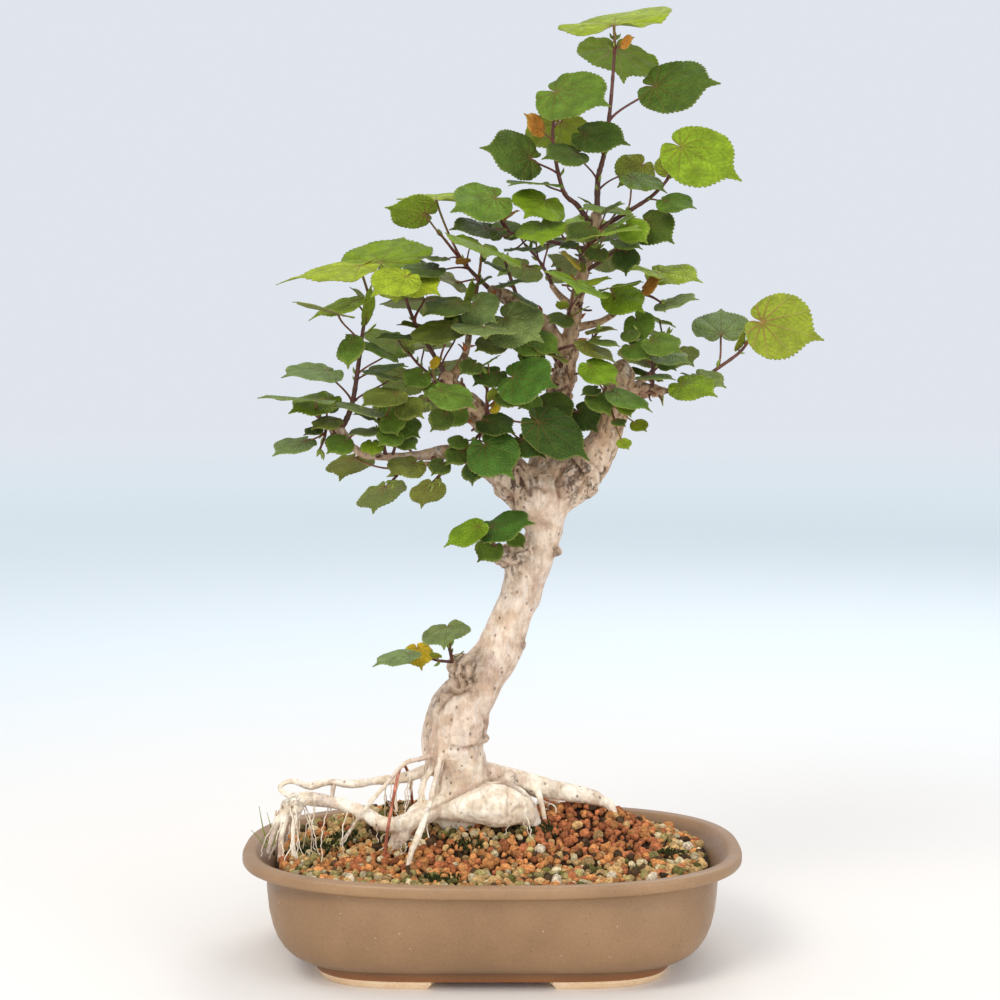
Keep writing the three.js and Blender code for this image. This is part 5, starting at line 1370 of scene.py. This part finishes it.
def twig_place(twigs, joint, order):
    """Depth of the shoot's twigs where they pass nearest to a joint in the picture, the petiole's base on
    that twig, and the twig's direction there.
    """
    across, down = joint
    best = None
    for twig in twigs:
        run = 0
        for (ax, ay, az), (bx, by, bz) in zip(twig, twig[1:]):
            span = math.hypot(bx - ax, by - ay)
            share = ((across - ax) * (bx - ax) + (down - ay) * (by - ay)) / span ** 2
            share = min(max(share, 0), 1)
            gap = math.hypot(ax + (bx - ax) * share - across, ay + (by - ay) * share - down)
            if best is None or gap < best[0]:
                best = (gap, az + (bz - az) * share, twig, run + share * span)
            run += span
    gap, depth, twig, run = best
    start = PETIOLE_STARTS[order % len(PETIOLE_STARTS)]
    return depth, *along_twig(twig, max(run - PETIOLE_RISE * gap, start))


def bezier(first, second, third, last, steps):
    t = np.linspace(0, 1, steps)[:, None]
    return first * (1 - t) ** 3 + 3 * second * t * (1 - t) ** 2 + 3 * third * t ** 2 * (1 - t) + last * t ** 3


def add_petiole(shape, base, run, joint, axis, normal, row, rng):
    """Curved stalk, thicker at both ends, that leaves its twig forwards and comes in under the blade."""
    away = np.linalg.norm(joint - base)
    straight = unit(joint - base)
    start = unit(straight * 0.75 + run * 0.4)
    finish = unit(straight * 0.8 + normal * 0.3)
    path = bezier(base, base + start * away * 0.35, joint - finish * away * 0.3, joint, 12)
    share = np.linspace(0, 1, len(path))
    thick = 0.38 + 0.0075 * row.length
    radii = thick * (1 + 0.55 * np.exp(-share * 9) + 0.35 * np.exp(-(1 - share) * 12))
    red = linear(*rng.choice(PETIOLE_TONES))
    tube(shape, path, radii, PETIOLE_SIDES, blend(red, linear(*TONES[row.tone]), 0.3 * share), slot=1)


def add_stipule(shape, at, run, rng, size):
    """Small folded leaf scale where a petiole leaves the twig, or round a bud."""
    swing = unit(np.cross(run, stray(rng, 1, 1, 1)))
    tip = at + (unit(run) * 0.75 + swing * 0.6) * size
    path = spline([at, (at + tip) / 2 + swing * size * 0.12, tip], 3)
    radii = np.array(STIPULE_RADII) * size * STIPULE_WIDTH
    tube(shape, path, radii, STIPULE_SIDES, linear(*BUD_TONE), slot=1)


def add_twig(shape, twig, order, rng):
    """Knobbly twig that tapers to a bud among stipules. The shoot's first twig is the thickest."""
    rows = np.array([seen(*step) for step in twig])
    path = spline(rows, 8)
    share = np.linspace(0, 1, len(path))
    thick = 1.0 + min(np.linalg.norm(rows[-1] - rows[0]) / 90, 1.0)
    knobs = 1 + 0.16 * np.sin(share * len(path) * 0.9) ** 8
    radii = (1 if order == 0 else 0.85) * (thick + (0.8 - thick) * share) * knobs
    tint = blend(linear(*TWIG_TONES[0]), linear(*TWIG_TONES[1]), share)
    tube(shape, path, radii, TWIG_SIDES, tint, slot=1)
    run = unit(path[-1] - path[-3])
    bud = spline([path[-1] + run * step for step in BUD_STEPS], 3)
    tube(shape, bud, BUD_RADII, BUD_SIDES, linear(*BUD_TONE), slot=1)
    for _ in range(3):
        add_stipule(shape, path[-1], run, rng, rng.uniform(5, 8.5))


def make_shoot(name, shoot, materials):
    shape = Shape()
    rng = random.Random(name)
    for order, twig in enumerate(shoot["twigs"]):
        add_twig(shape, twig, order, rng)
    for order, row in enumerate(shoot["leaves"]):
        depth, base, run = twig_place(shoot["twigs"], row.joint, order)
        joint = seen(*row.joint, depth + row.depth + LEAF_STAGGER * (order % 3 - 1))
        axis, normal = add_blade(shape, joint, row, name, order)
        add_petiole(shape, base, run, joint, axis, normal, row, rng)
        if rng.random() < STIPULE_CHANCE:
            add_stipule(shape, base, run, rng, rng.uniform(4, 7.5))
    return shape.build(name.replace("_shoot", "_leaves"), *materials)


# Shoots: twigs as across, down and depth, and the leaves they carry
SHOOTS = {
    "apex_shoot": {
        "twigs": [[[597, 217, 8], [598, 180, 6], [602, 163, 5], [606, 145, 4], [611, 100, 2], [614, 60, 0],
            [615, 40, 0]]],
        "leaves": [
            Leaf((614, 25), (616, 2), 62, FAR, -8, "lime", depth=2, width=1.2),
            Leaf((616, 47), (625, 77), 50, FAR, 12, "bright", depth=5, width=1.1),
            Leaf((655, 86), (722, 82), 46, NEAR, 54, "dark"),
            Leaf((585, 134), (632, 143), 33, NEAR, 42, "dark"),
            Leaf((577, 153), (542, 155), 28, NEAR, 35, "dark", depth=-22),
            Leaf((642, 165), (618, 186), 28, NEAR, 50, "olive", depth=16),
            Leaf((623, 44), (634, 36), 10, NEAR, 70, "young"),
        ],
    },
    "apex_left_shoot": {
        "twigs": [[[594, 230, 8], [578, 206, 2], [563, 190, -4], [553, 140, -8], [556, 98, -8]]],
        "leaves": [
            Leaf((556, 92), (611, 104), 46, NEAR, 45, "mid"),
            Leaf((560, 122), (560, 156), 46, FAR, 0, "lime", depth=22),
            Leaf((530, 158), (483, 144), 37, NEAR, 66, "dark"),
            Leaf((541, 130), (524, 112), 17, NEAR, 70, "young"),
            Leaf((545, 184), (508, 179), 34, NEAR, 8, "mid", width=1.1),
            Leaf((590, 203), (578, 195), 12, NEAR, 20, "mid"),
        ],
    },
    "apex_right_shoot": {
        "twigs": [
            [[594, 232, 8], [616, 219, 2], [634, 208, -4], [652, 196, -8], [667, 180, -10], [674, 164, -10]],
        ],
        "leaves": [
            Leaf((681, 147), (743, 178), 46, NEAR, 54, "bright", depth=-12),
            Leaf((667, 172), (660, 152), 14, NEAR, 30, "lime"),
            Leaf((632, 178), (669, 189), 28, NEAR, 20, "mid"),
            Leaf((666, 201), (697, 207), 23, NEAR, 35, "mid"),
            Leaf((646, 222), (674, 241), 28, NEAR, 50, "dark"),
        ],
    },
    "crown_left_shoot": {
        "twigs": [[[589, 250, 7], [562, 244, -2], [535, 238, -8], [510, 232, -12], [498, 216, -12]]],
        "leaves": [
            Leaf((495, 198), (450, 211), 38, NEAR, 40, "mid", depth=-12),
            Leaf((486, 228), (449, 225), 28, NEAR, 30, "dark"),
            Leaf((503, 236), (505, 214), 26, FAR, 0, "dark"),
            Leaf((506, 217), (520, 209), 12, NEAR, 30, "young"),
            Leaf((545, 200), (525, 216), 36, NEAR, 30, "bright"),
            Leaf((514, 249), (541, 248), 22, NEAR, 8, "dark"),
            Leaf((541, 224), (541, 242), 34, NEAR, 8, "bright", depth=-6),
        ],
    },
    "crown_front_shoot": {
        "twigs": [[[586, 262, 6], [580, 256, -12], [588, 246, -24], [600, 236, -32]]],
        "leaves": [
            Leaf((618, 210), (579, 204), 31, NEAR, 15, "mid", depth=25),
            Leaf((606, 210), (624, 201), 15, NEAR, 30, "dark"),
            Leaf((596, 236), (641, 222), 38, NEAR, 12, "bright", depth=-32),
            Leaf((612, 226), (636, 213), 21, NEAR, 30, "mid"),
            Leaf((588, 228), (564, 240), 21, NEAR, 35, "dark"),
            Leaf((574, 243), (558, 247), 12, NEAR, 20, "dark"),
            Leaf((576, 264), (560, 249), 17, NEAR, 40, "yellow"),
            Leaf((583, 270), (582, 258), 9, NEAR, 0, "lime", width=0.5),
        ],
    },
    "crown_right_shoot": {
        "twigs": [[[584, 272, 6], [600, 262, 2], [618, 248, -4], [634, 236, -8]]],
        "leaves": [
            Leaf((628, 226), (648, 242), 21, NEAR, 45, "bright"),
            Leaf((618, 241), (644, 248), 19, NEAR, 20, "mid"),
            Leaf((626, 252), (626, 276), 19, NEAR, 0, "deep"),
            Leaf((600, 250), (588, 262), 16, NEAR, 30, "dark", depth=-2),
        ],
    },
    "upper_right_shoot": {
        "twigs": [
            [[612, 316, -8], [625, 303, -12], [645, 290, -16], [657, 278, -18]],
            [[640, 293, -15], [652, 297, -18], [662, 303, -20]],
        ],
        "leaves": [
            Leaf((611, 288), (644, 279), 27, NEAR, 8, "mid", depth=-12),
            Leaf((614, 294), (646, 312), 28, NEAR, 38, "bright"),
            Leaf((659, 272), (704, 277), 33, NEAR, 25, "lime", depth=8),
            Leaf((657, 273), (629, 266), 23, NEAR, 20, "lime", depth=-12),
            Leaf((646, 288), (662, 275), 15, NEAR, 60, "young", depth=-14),
            Leaf((665, 303), (699, 296), 27, NEAR, 25, "sheen_grey"),
        ],
    },
    "upper_left_top_shoot": {
        "twigs": [[[491, 290, -14], [474, 274, -12], [458, 256, -10], [442, 236, -10]]],
        "leaves": [
            # Bright tone for a blade in the shade of the leaf above it: painted light
            Leaf((425, 214), (383, 203), 29, NEAR, -38, "bright", width=1.1),
            Leaf((436, 200), (436, 191), 46, FAR, 0, "lime", depth=-14, width=1.1),
            Leaf((455, 281), (416, 263), 36, NEAR, 30, "olive", depth=13),
            Leaf((472, 239), (455, 236), 14, NEAR, 20, "dark"),
            Leaf((466, 262), (455, 258), 10, NEAR, 20, "young"),
            Leaf((434, 268), (398, 272), 27, NEAR, 20, "dark", depth=-34),
            Leaf((441, 258), (416, 256), 20, NEAR, 10, "dark", depth=-20),
        ],
    },
    "diagonal_leaf_shoot": {
        "twigs": [[[469, 338, -10], [471, 318, -16], [477, 290, -22], [481, 262, -26]]],
        "leaves": [
            Leaf((483, 246), (487, 254), 52, NEAR, -22, "bright"),
            Leaf((468, 300), (473, 276), 17, NEAR, 20, "bright", depth=2, width=0.5),
            Leaf((480, 282), (492, 276), 12, NEAR, 30, "dark"),
            Leaf((474, 304), (496, 322), 27, NEAR, 50, "sheen_grey", depth=-2),
            Leaf((458, 303), (422, 312), 29, NEAR, 20, "dark", depth=-28),
            Leaf((466, 318), (441, 322), 20, NEAR, 20, "dark", depth=-2),
            Leaf((484, 327), (486, 334), 42, NEAR, -5, "sheen_grey", depth=-24),
        ],
    },
    "crown_centre_shoot": {
        "twigs": [[[520, 305, -9], [514, 288, -16], [508, 270, -20], [505, 260, -22]]],
        "leaves": [
            Leaf((503, 284), (529, 279), 20, NEAR, 15, "dark"),
            Leaf((500, 268), (484, 262), 18, NEAR, 25, "mid", depth=-5),
            Leaf((519, 298), (540, 304), 20, FAR, 30, "dark", depth=-39),
        ],
    },
    "slanting_leaf_shoot": {
        "twigs": [[[571, 330, 4], [569, 314, -10], [573, 296, -18]]],
        "leaves": [
            Leaf((576, 281), (580, 289), 43, NEAR, -23, "bright", depth=-12),
            Leaf((565, 307), (556, 300), 9, NEAR, 20, "lime"),
            Leaf((580, 311), (589, 305), 9, NEAR, 20, "lime"),
            Leaf((584, 284), (612, 276), 22, NEAR, 20, "lime", depth=8),
            Leaf((566, 318), (548, 322), 18, NEAR, 30, "dark"),
        ],
    },
    "left_upper_shoot": {
        "twigs": [[[338, 431, -27], [344, 424, -28], [350, 411, -28], [354, 395, -28], [358, 368, -28],
            [361, 345, -28], [364, 325, -28], [371, 302, -28], [378, 284, -28]]],
        "leaves": [
            Leaf((380, 263), (403, 231), 48, FAR, 0, "bright", depth=39, width=1.3),
            Leaf((360, 266), (273, 281), 60, NEAR, 9, "lime", width=0.8),
            Leaf((338, 314), (293, 297), 36, NEAR, 8, "olive", depth=-39),
            Leaf((356, 301), (306, 316), 34, NEAR, 10, "lime", depth=2),
            Leaf((368, 305), (352, 284), 18, NEAR, 40, "lime", depth=13),
            Leaf((366, 318), (370, 280), 26, NEAR, 30, "bright", depth=-13, width=0.4),
            Leaf((352, 342), (346, 368), 20, NEAR, 10, "mid", depth=-17),
            Leaf((388, 354), (364, 346), 25, NEAR, 30, "mid"),
            Leaf((374, 369), (409, 364), 27, NEAR, 15, "mid", depth=3),
            Leaf((393, 377), (361, 372), 25, NEAR, 10, "dark"),
            Leaf((327, 371), (281, 372), 36, NEAR, 18, "sheen_grey"),
            Leaf((355, 339), (345, 333), 9, NEAR, 20, "bright"),
            Leaf((368, 332), (376, 322), 9, NEAR, 20, "lime"),
        ],
    },
    "left_middle_shoot": {
        "twigs": [[[446, 376, -20], [432, 352, -20], [417, 327, -20], [407, 302, -30], [406, 288, -34]]],
        "leaves": [
            Leaf((406, 277), (370, 292), 31, NEAR, 30, "lime", depth=-32),
            Leaf((408, 279), (441, 292), 29, NEAR, 30, "lime"),
            Leaf((395, 288), (396, 300), 22, NEAR, 0, "lime"),
            Leaf((425, 299), (423, 307), 58, FAR, 0, "sheen_grey", depth=22),
            Leaf((432, 328), (396, 322), 27, NEAR, 15, "olive", depth=13),
            Leaf((412, 337), (374, 334), 28, NEAR, 10, "dark"),
            Leaf((452, 326), (406, 344), 37, NEAR, 15, "olive"),
            Leaf((456, 336), (427, 349), 27, FAR, 15, "dark", depth=12),
        ],
    },
    "left_end_shoot": {
        "twigs": [
            [[334, 427, -27], [322, 420, -30], [312, 412, -32]],
            [[326, 422, -29], [325, 436, -33], [320, 449, -35]],
        ],
        "leaves": [
            Leaf((316, 400), (257, 393), 42, NEAR, 2, "sheen_grey", depth=-17),
            Leaf((328, 399), (287, 410), 31, NEAR, 20, "bright", depth=-2),
            Leaf((330, 405), (303, 410), 21, NEAR, 20, "mid", depth=2),
            Leaf((334, 420), (310, 427), 20, NEAR, 15, "olive"),
            Leaf((318, 429), (303, 434), 12, NEAR, 20, "dark"),
            Leaf((304, 441), (271, 453), 27, NEAR, 12, "sheen_grey"),
            Leaf((345, 441), (326, 453), 19, NEAR, 35, "mid"),
        ],
    },
    "left_low_shoot": {
        "twigs": [
            [[386, 457, -21], [383, 442, -26], [380, 427, -28], [377, 412, -29]],
            [[392, 457, -21], [397, 440, -26], [400, 424, -28]],
        ],
        "leaves": [
            Leaf((371, 410), (331, 402), 31, NEAR, 15, "sheen_grey"),
            Leaf((395, 394), (359, 403), 28, NEAR, 20, "olive", depth=-27),
            Leaf((369, 417), (353, 412), 13, NEAR, 20, "dark", depth=-12),
            Leaf((372, 443), (372, 456), 15, NEAR, 0, "bright"),
            Leaf((373, 430), (346, 435), 21, NEAR, 8, "sheen_grey"),
            Leaf((385, 404), (398, 422), 19, NEAR, 50, "mid", depth=-2),
            Leaf((403, 404), (424, 417), 20, NEAR, 40, "olive"),
            Leaf((390, 418), (398, 436), 18, NEAR, 30, "mid", depth=-12),
            Leaf((397, 423), (421, 438), 23, NEAR, 35, "mid"),
            Leaf((395, 433), (378, 445), 18, NEAR, 35, "mid"),
            Leaf((402, 439), (417, 449), 15, NEAR, 30, "mid"),
        ],
    },
    "left_hanging_shoot": {
        "twigs": [[[401, 459, -20], [402, 466, -24], [398, 474, -28], [392, 481, -30]]],
        "leaves": [
            Leaf((385, 487), (371, 510), 34, FAR, 10, "sheen_grey"),
            Leaf((414, 463), (388, 475), 25, NEAR, 25, "olive"),
            Leaf((355, 458), (338, 476), 30, FAR, 0, "olive", width=1.1),
        ],
    },
    "dead_twig_shoot": {
        "twigs": [[[443, 471, -29], [438, 477, -31], [433, 482, -32]]],
        "leaves": [
            Leaf((431, 485), (420, 507), 24, FAR, 5, "olive"),
            Leaf((443, 463), (431, 475), 15, NEAR, 30, "dark"),
        ],
    },
    "inner_left_shoot": {
        "twigs": [[[446, 377, -20], [438, 384, -26], [432, 392, -30], [428, 402, -32]]],
        "leaves": [
            Leaf((441, 387), (422, 397), 17, NEAR, 25, "mid", depth=3),
            Leaf((441, 391), (478, 408), 28, NEAR, 26, "mid", depth=-34),
            Leaf((422, 374), (404, 387), 19, NEAR, 35, "mid"),
            Leaf((446, 414), (430, 431), 17, NEAR, 42, "dark"),
            Leaf((432, 364), (442, 358), 9, NEAR, 65, "yellow"),
            Leaf((460, 411), (446, 429), 16, NEAR, 40, "mid", depth=-12),
        ],
    },
    "centre_shoot": {
        "twigs": [[[486, 427, -15], [487, 412, -30], [487, 395, -36], [488, 376, -38]]],
        "leaves": [
            Leaf((513, 377), (556, 384), 37, NEAR, 52, "fresh"),
            Leaf((538, 422), (594, 457), 41, NEAR, 38, "deep", depth=-34),
            Leaf((485, 445), (513, 477), 35, NEAR, 40, "fresh", depth=-37),
            Leaf((487, 421), (516, 431), 24, NEAR, 30, "deep", depth=-12),
            Leaf((503, 395), (524, 406), 18, NEAR, 30, "dark"),
            Leaf((497, 373), (472, 384), 22, NEAR, 30, "dark"),
            Leaf((475, 364), (459, 374), 16, NEAR, 30, "dark"),
            Leaf((488, 362), (497, 356), 14, NEAR, 30, "mid"),
            Leaf((493, 407), (505, 400), 12, NEAR, 65, "yellow"),
            Leaf((522, 440), (546, 456), 23, NEAR, 35, "deep", depth=-22),
            Leaf((492, 398), (493, 385), 9, NEAR, 30, "lime"),
        ],
    },
    "centre_right_shoot": {
        "twigs": [[[556, 412, 4], [550, 410, -12], [546, 408, -20]]],
        "leaves": [
            Leaf((542, 404), (576, 420), 29, NEAR, 40, "dark", depth=3),
            Leaf((578, 411), (598, 432), 23, NEAR, 45, "deep", depth=-13),
            Leaf((552, 438), (574, 452), 18, NEAR, 30, "dark", depth=-27),
            Leaf((534, 398), (518, 408), 18, NEAR, 40, "mid"),
        ],
    },
    "centre_low_shoot": {
        "twigs": [[[486, 428, -16], [478, 436, -26], [470, 446, -30]]],
        "leaves": [
            Leaf((476, 464), (471, 485), 18, NEAR, 10, "deep"),
            Leaf((461, 452), (445, 464), 16, NEAR, 35, "dark"),
            Leaf((462, 440), (448, 448), 14, NEAR, 30, "mid"),
        ],
    },
    "leader_shoot": {
        "twigs": [
            [[565, 372, 5], [550, 352, -12], [534, 341, -18], [524, 336, -20]],
            [[551, 353, -12], [566, 347, -19], [588, 342, -20], [598, 332, -22]],
        ],
        "leaves": [
            Leaf((524, 338), (563, 352), 30, NEAR, 30, "mid", depth=0),
            Leaf((505, 318), (544, 342), 37, NEAR, 45, "sheen_grey"),
            Leaf((498, 342), (474, 350), 21, NEAR, 30, "olive"),
            Leaf((536, 352), (520, 366), 18, NEAR, 30, "mid", depth=8),
            Leaf((584, 345), (620, 362), 26, NEAR, 12, "olive", depth=-12),
            Leaf((592, 331), (618, 326), 18, NEAR, 15, "olive"),
            Leaf((596, 341), (622, 345), 18, NEAR, 10, "mid"),
            Leaf((560, 358), (526, 342), 24, NEAR, 10, "olive", depth=-27),
        ],
    },
    "right_tip_shoot": {
        "twigs": [[[665, 391, -11], [688, 390, -14], [700, 382, -15], [714, 371, -16], [740, 352, -18],
            [753, 334, -18]]],
        "leaves": [
            Leaf((762, 322), (824, 338), 42, FAR, -72, "lime", depth=-8, width=1.05),
            Leaf((721, 334), (721, 303), 38, FAR, 0, "sheen_grey"),
            Leaf((738, 347), (744, 328), 14, NEAR, 22, "lime", width=0.6),
            Leaf((696, 378), (680, 372), 14, NEAR, 20, "dark", depth=25),
            Leaf((700, 375), (728, 385), 21, NEAR, 25, "sheen_grey"),
            Leaf((682, 384), (718, 394), 30, NEAR, 30, "bright", depth=-27),
        ],
    },
    "right_middle_shoot": {
        "twigs": [[[651, 391, -10], [653, 376, -14], [652, 360, -16], [646, 345, -17], [638, 332, -18]]],
        "leaves": [
            Leaf((653, 341), (683, 352), 25, NEAR, 30, "mid", depth=-12),
            Leaf((658, 353), (692, 361), 26, NEAR, 20, "sheen_grey"),
            Leaf((636, 319), (646, 342), 22, NEAR, 40, "mid", depth=-2),
            Leaf((631, 346), (652, 360), 20, NEAR, 35, "mid"),
            Leaf((627, 333), (639, 341), 13, NEAR, 30, "mid"),
            Leaf((664, 362), (677, 370), 13, NEAR, 30, "mid"),
            Leaf((645, 377), (676, 375), 23, NEAR, 8, "mid"),
        ],
    },
    "right_limb_shoot": {
        "twigs": [[[614, 408, -8], [612, 404, -22], [606, 398, -26], [606, 386, -28]]],
        "leaves": [
            Leaf((590, 366), (619, 384), 25, NEAR, 28, "bright"),
            Leaf((594, 397), (613, 415), 19, NEAR, 22, "mid"),
            Leaf((617, 394), (654, 410), 28, NEAR, 12, "mid", depth=-27),
            Leaf((625, 402), (631, 417), 13, NEAR, 20, "bright", depth=-30),
            Leaf((616, 421), (626, 425), 10, NEAR, 20, "dark", depth=-32),
            Leaf((636, 423), (647, 431), 12, NEAR, 30, "lime", depth=-22),
            Leaf((622, 441), (629, 449), 10, NEAR, 20, "lime", depth=-36),
            Leaf((596, 389), (580, 394), 12, NEAR, 30, "dark"),
        ],
    },
    "trunk_shoot": {
        "twigs": [[[502, 552, -2], [496, 546, -14], [489, 540, -18], [484, 532, -20]]],
        "leaves": [
            Leaf((492, 527), (535, 521), 34, NEAR, 35, "fresh"),
            Leaf((478, 527), (442, 546), 26, NEAR, 25, "bright", depth=-22),
            Leaf((494, 545), (477, 562), 19, NEAR, 40, "mid"),
            Leaf((480, 538), (475, 532), 8, NEAR, 20, "lime"),
            Leaf((512, 536), (525, 548), 13, NEAR, 30, "mid"),
        ],
    },
    "low_trunk_shoot": {
        "twigs": [
            [[455, 668, -4], [452, 660, -14], [449, 648, -18]],
            [[453, 662, -12], [436, 660, -18], [418, 654, -20]],
        ],
        "leaves": [
            Leaf((447, 627), (443, 646), 32, NEAR, 10, "sheen_grey"),
            Leaf((409, 654), (371, 663), 28, NEAR, 6, "sheen_grey", depth=-17),
            Leaf((417, 648), (422, 669), 20, NEAR, 10, "yellow"),
            Leaf((438, 657), (430, 651), 8, NEAR, 20, "lime"),
            Leaf((456, 657), (464, 650), 9, NEAR, 20, "mid"),
        ],
    },
    "back_shoot": {
        "twigs": [[[553, 288, 48], [548, 276, 56], [540, 262, 62], [530, 250, 66]]],
        "leaves": [
            Leaf((520, 236), (500, 228), 34, FAR, -20, "mid", depth=-8),
            Leaf((548, 244), (572, 238), 36, FAR, -20, "dark"),
            Leaf((560, 270), (592, 272), 34, FAR, -25, "dark", depth=12),
            Leaf((526, 266), (498, 272), 36, FAR, -25, "mid"),
            Leaf((536, 236), (538, 216), 30, FAR, 0, "bright"),
        ],
    },
    "back_upper_shoot": {
        "twigs": [[[570, 304, 22], [578, 286, 34], [588, 266, 42], [596, 248, 46]]],
        "leaves": [
            Leaf((606, 232), (636, 232), 34, FAR, -20, "mid", depth=2),
            Leaf((592, 230), (580, 208), 32, FAR, 0, "bright"),
            Leaf((606, 258), (632, 262), 30, FAR, -30, "dark"),
            Leaf((576, 262), (552, 262), 30, FAR, -25, "dark"),
        ],
    },
    "back_left_shoot": {
        "twigs": [[[447, 389, 41], [434, 378, 50], [420, 366, 56], [408, 352, 60]]],
        "leaves": [
            Leaf((398, 340), (370, 348), 36, FAR, -30, "mid", depth=2),
            Leaf((424, 348), (440, 334), 32, FAR, 0, "olive"),
            Leaf((410, 376), (380, 388), 34, FAR, -30, "dark"),
            Leaf((444, 366), (468, 366), 30, FAR, -25, "mid"),
            Leaf((428, 396), (452, 406), 30, FAR, -30, "dark"),
        ],
    },
    "back_right_shoot": {
        "twigs": [[[645, 379, 47], [656, 366, 54], [664, 350, 58], [668, 334, 60]]],
        "leaves": [
            Leaf((662, 334), (640, 330), 30, FAR, -20, "mid"),
            Leaf((660, 320), (640, 312), 32, FAR, -20, "bright"),
            Leaf((676, 354), (694, 364), 26, FAR, -30, "dark"),
            Leaf((646, 356), (622, 360), 30, FAR, -25, "olive"),
            Leaf((652, 378), (634, 364), 24, FAR, -10, "dark"),
        ],
    },
}

# Camera first, at the photographed view
camera = bpy.data.objects.new("camera", bpy.data.cameras.new("camera"))
camera.data.sensor_width = SENSOR
camera.data.lens = SENSOR * PICTURE_FOCUS / PICTURE_SIZE
camera.location = (EYE + MIDDLE) * MM
camera.rotation_euler = (math.pi / 2 - EYE_PITCH, 0, 0)
bpy.context.scene.collection.objects.link(camera)
bpy.context.scene.camera = camera

pot, feet = make_pot()
for piece in (pot, feet):
    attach(piece, "root")
    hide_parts("pot")

grit = grit_material()
bed = make_soil_bed(grit)
grains = make_grains(grit)
moss = make_moss(grit)
for piece in (bed, grains, moss):
    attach(piece, "root")
    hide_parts("soil")

wood = make_tree()
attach(wood, "root")
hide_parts("tree")

wire = make_wire()
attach(wire, "root")
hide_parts("tie_wire")

screen_material = mesh_material()
for node in ("drain_screen_left", "drain_screen_right"):
    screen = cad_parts[node]
    screen.data.materials.clear()
    screen.data.materials.append(screen_material)

leaf_materials = (leaf_material(), stem_material())
for name, shoot in SHOOTS.items():
    piece = make_shoot(name, shoot, leaf_materials)
    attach(piece, "root")
    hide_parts(name)

# Floor and soft studio light
bpy.ops.mesh.primitive_circle_add(vertices=96, radius=FLOOR_RADIUS, fill_type="NGON")
floor = bpy.context.object
floor.name = "floor"
floor.data.materials.append(floor_material())

world = bpy.data.worlds.new("studio")
bpy.context.scene.world = world
world.use_nodes = True
background = world.node_tree.nodes["Background"]
background.inputs["Color"].default_value = (*linear(*AIR), 1)
background.inputs["Strength"].default_value = AIR_STRENGTH


def soft_box(name, place, aim, size, power, colour):
    light = bpy.data.objects.new(name, bpy.data.lights.new(name, "AREA"))
    light.data.shape = "SQUARE"
    light.data.size = size
    light.data.energy = power
    light.data.color = colour
    light.location = place
    away = np.array(place) - np.array(aim)
    tilt = math.acos(away[2] / np.linalg.norm(away))
    light.rotation_euler = (tilt, 0, math.atan2(away[1], away[0]) + math.pi / 2)
    bpy.context.scene.collection.objects.link(light)


for name, settings in SOFT_BOXES.items():
    soft_box(name, *settings)
bpy.context.scene.view_settings.view_transform = "Standard"
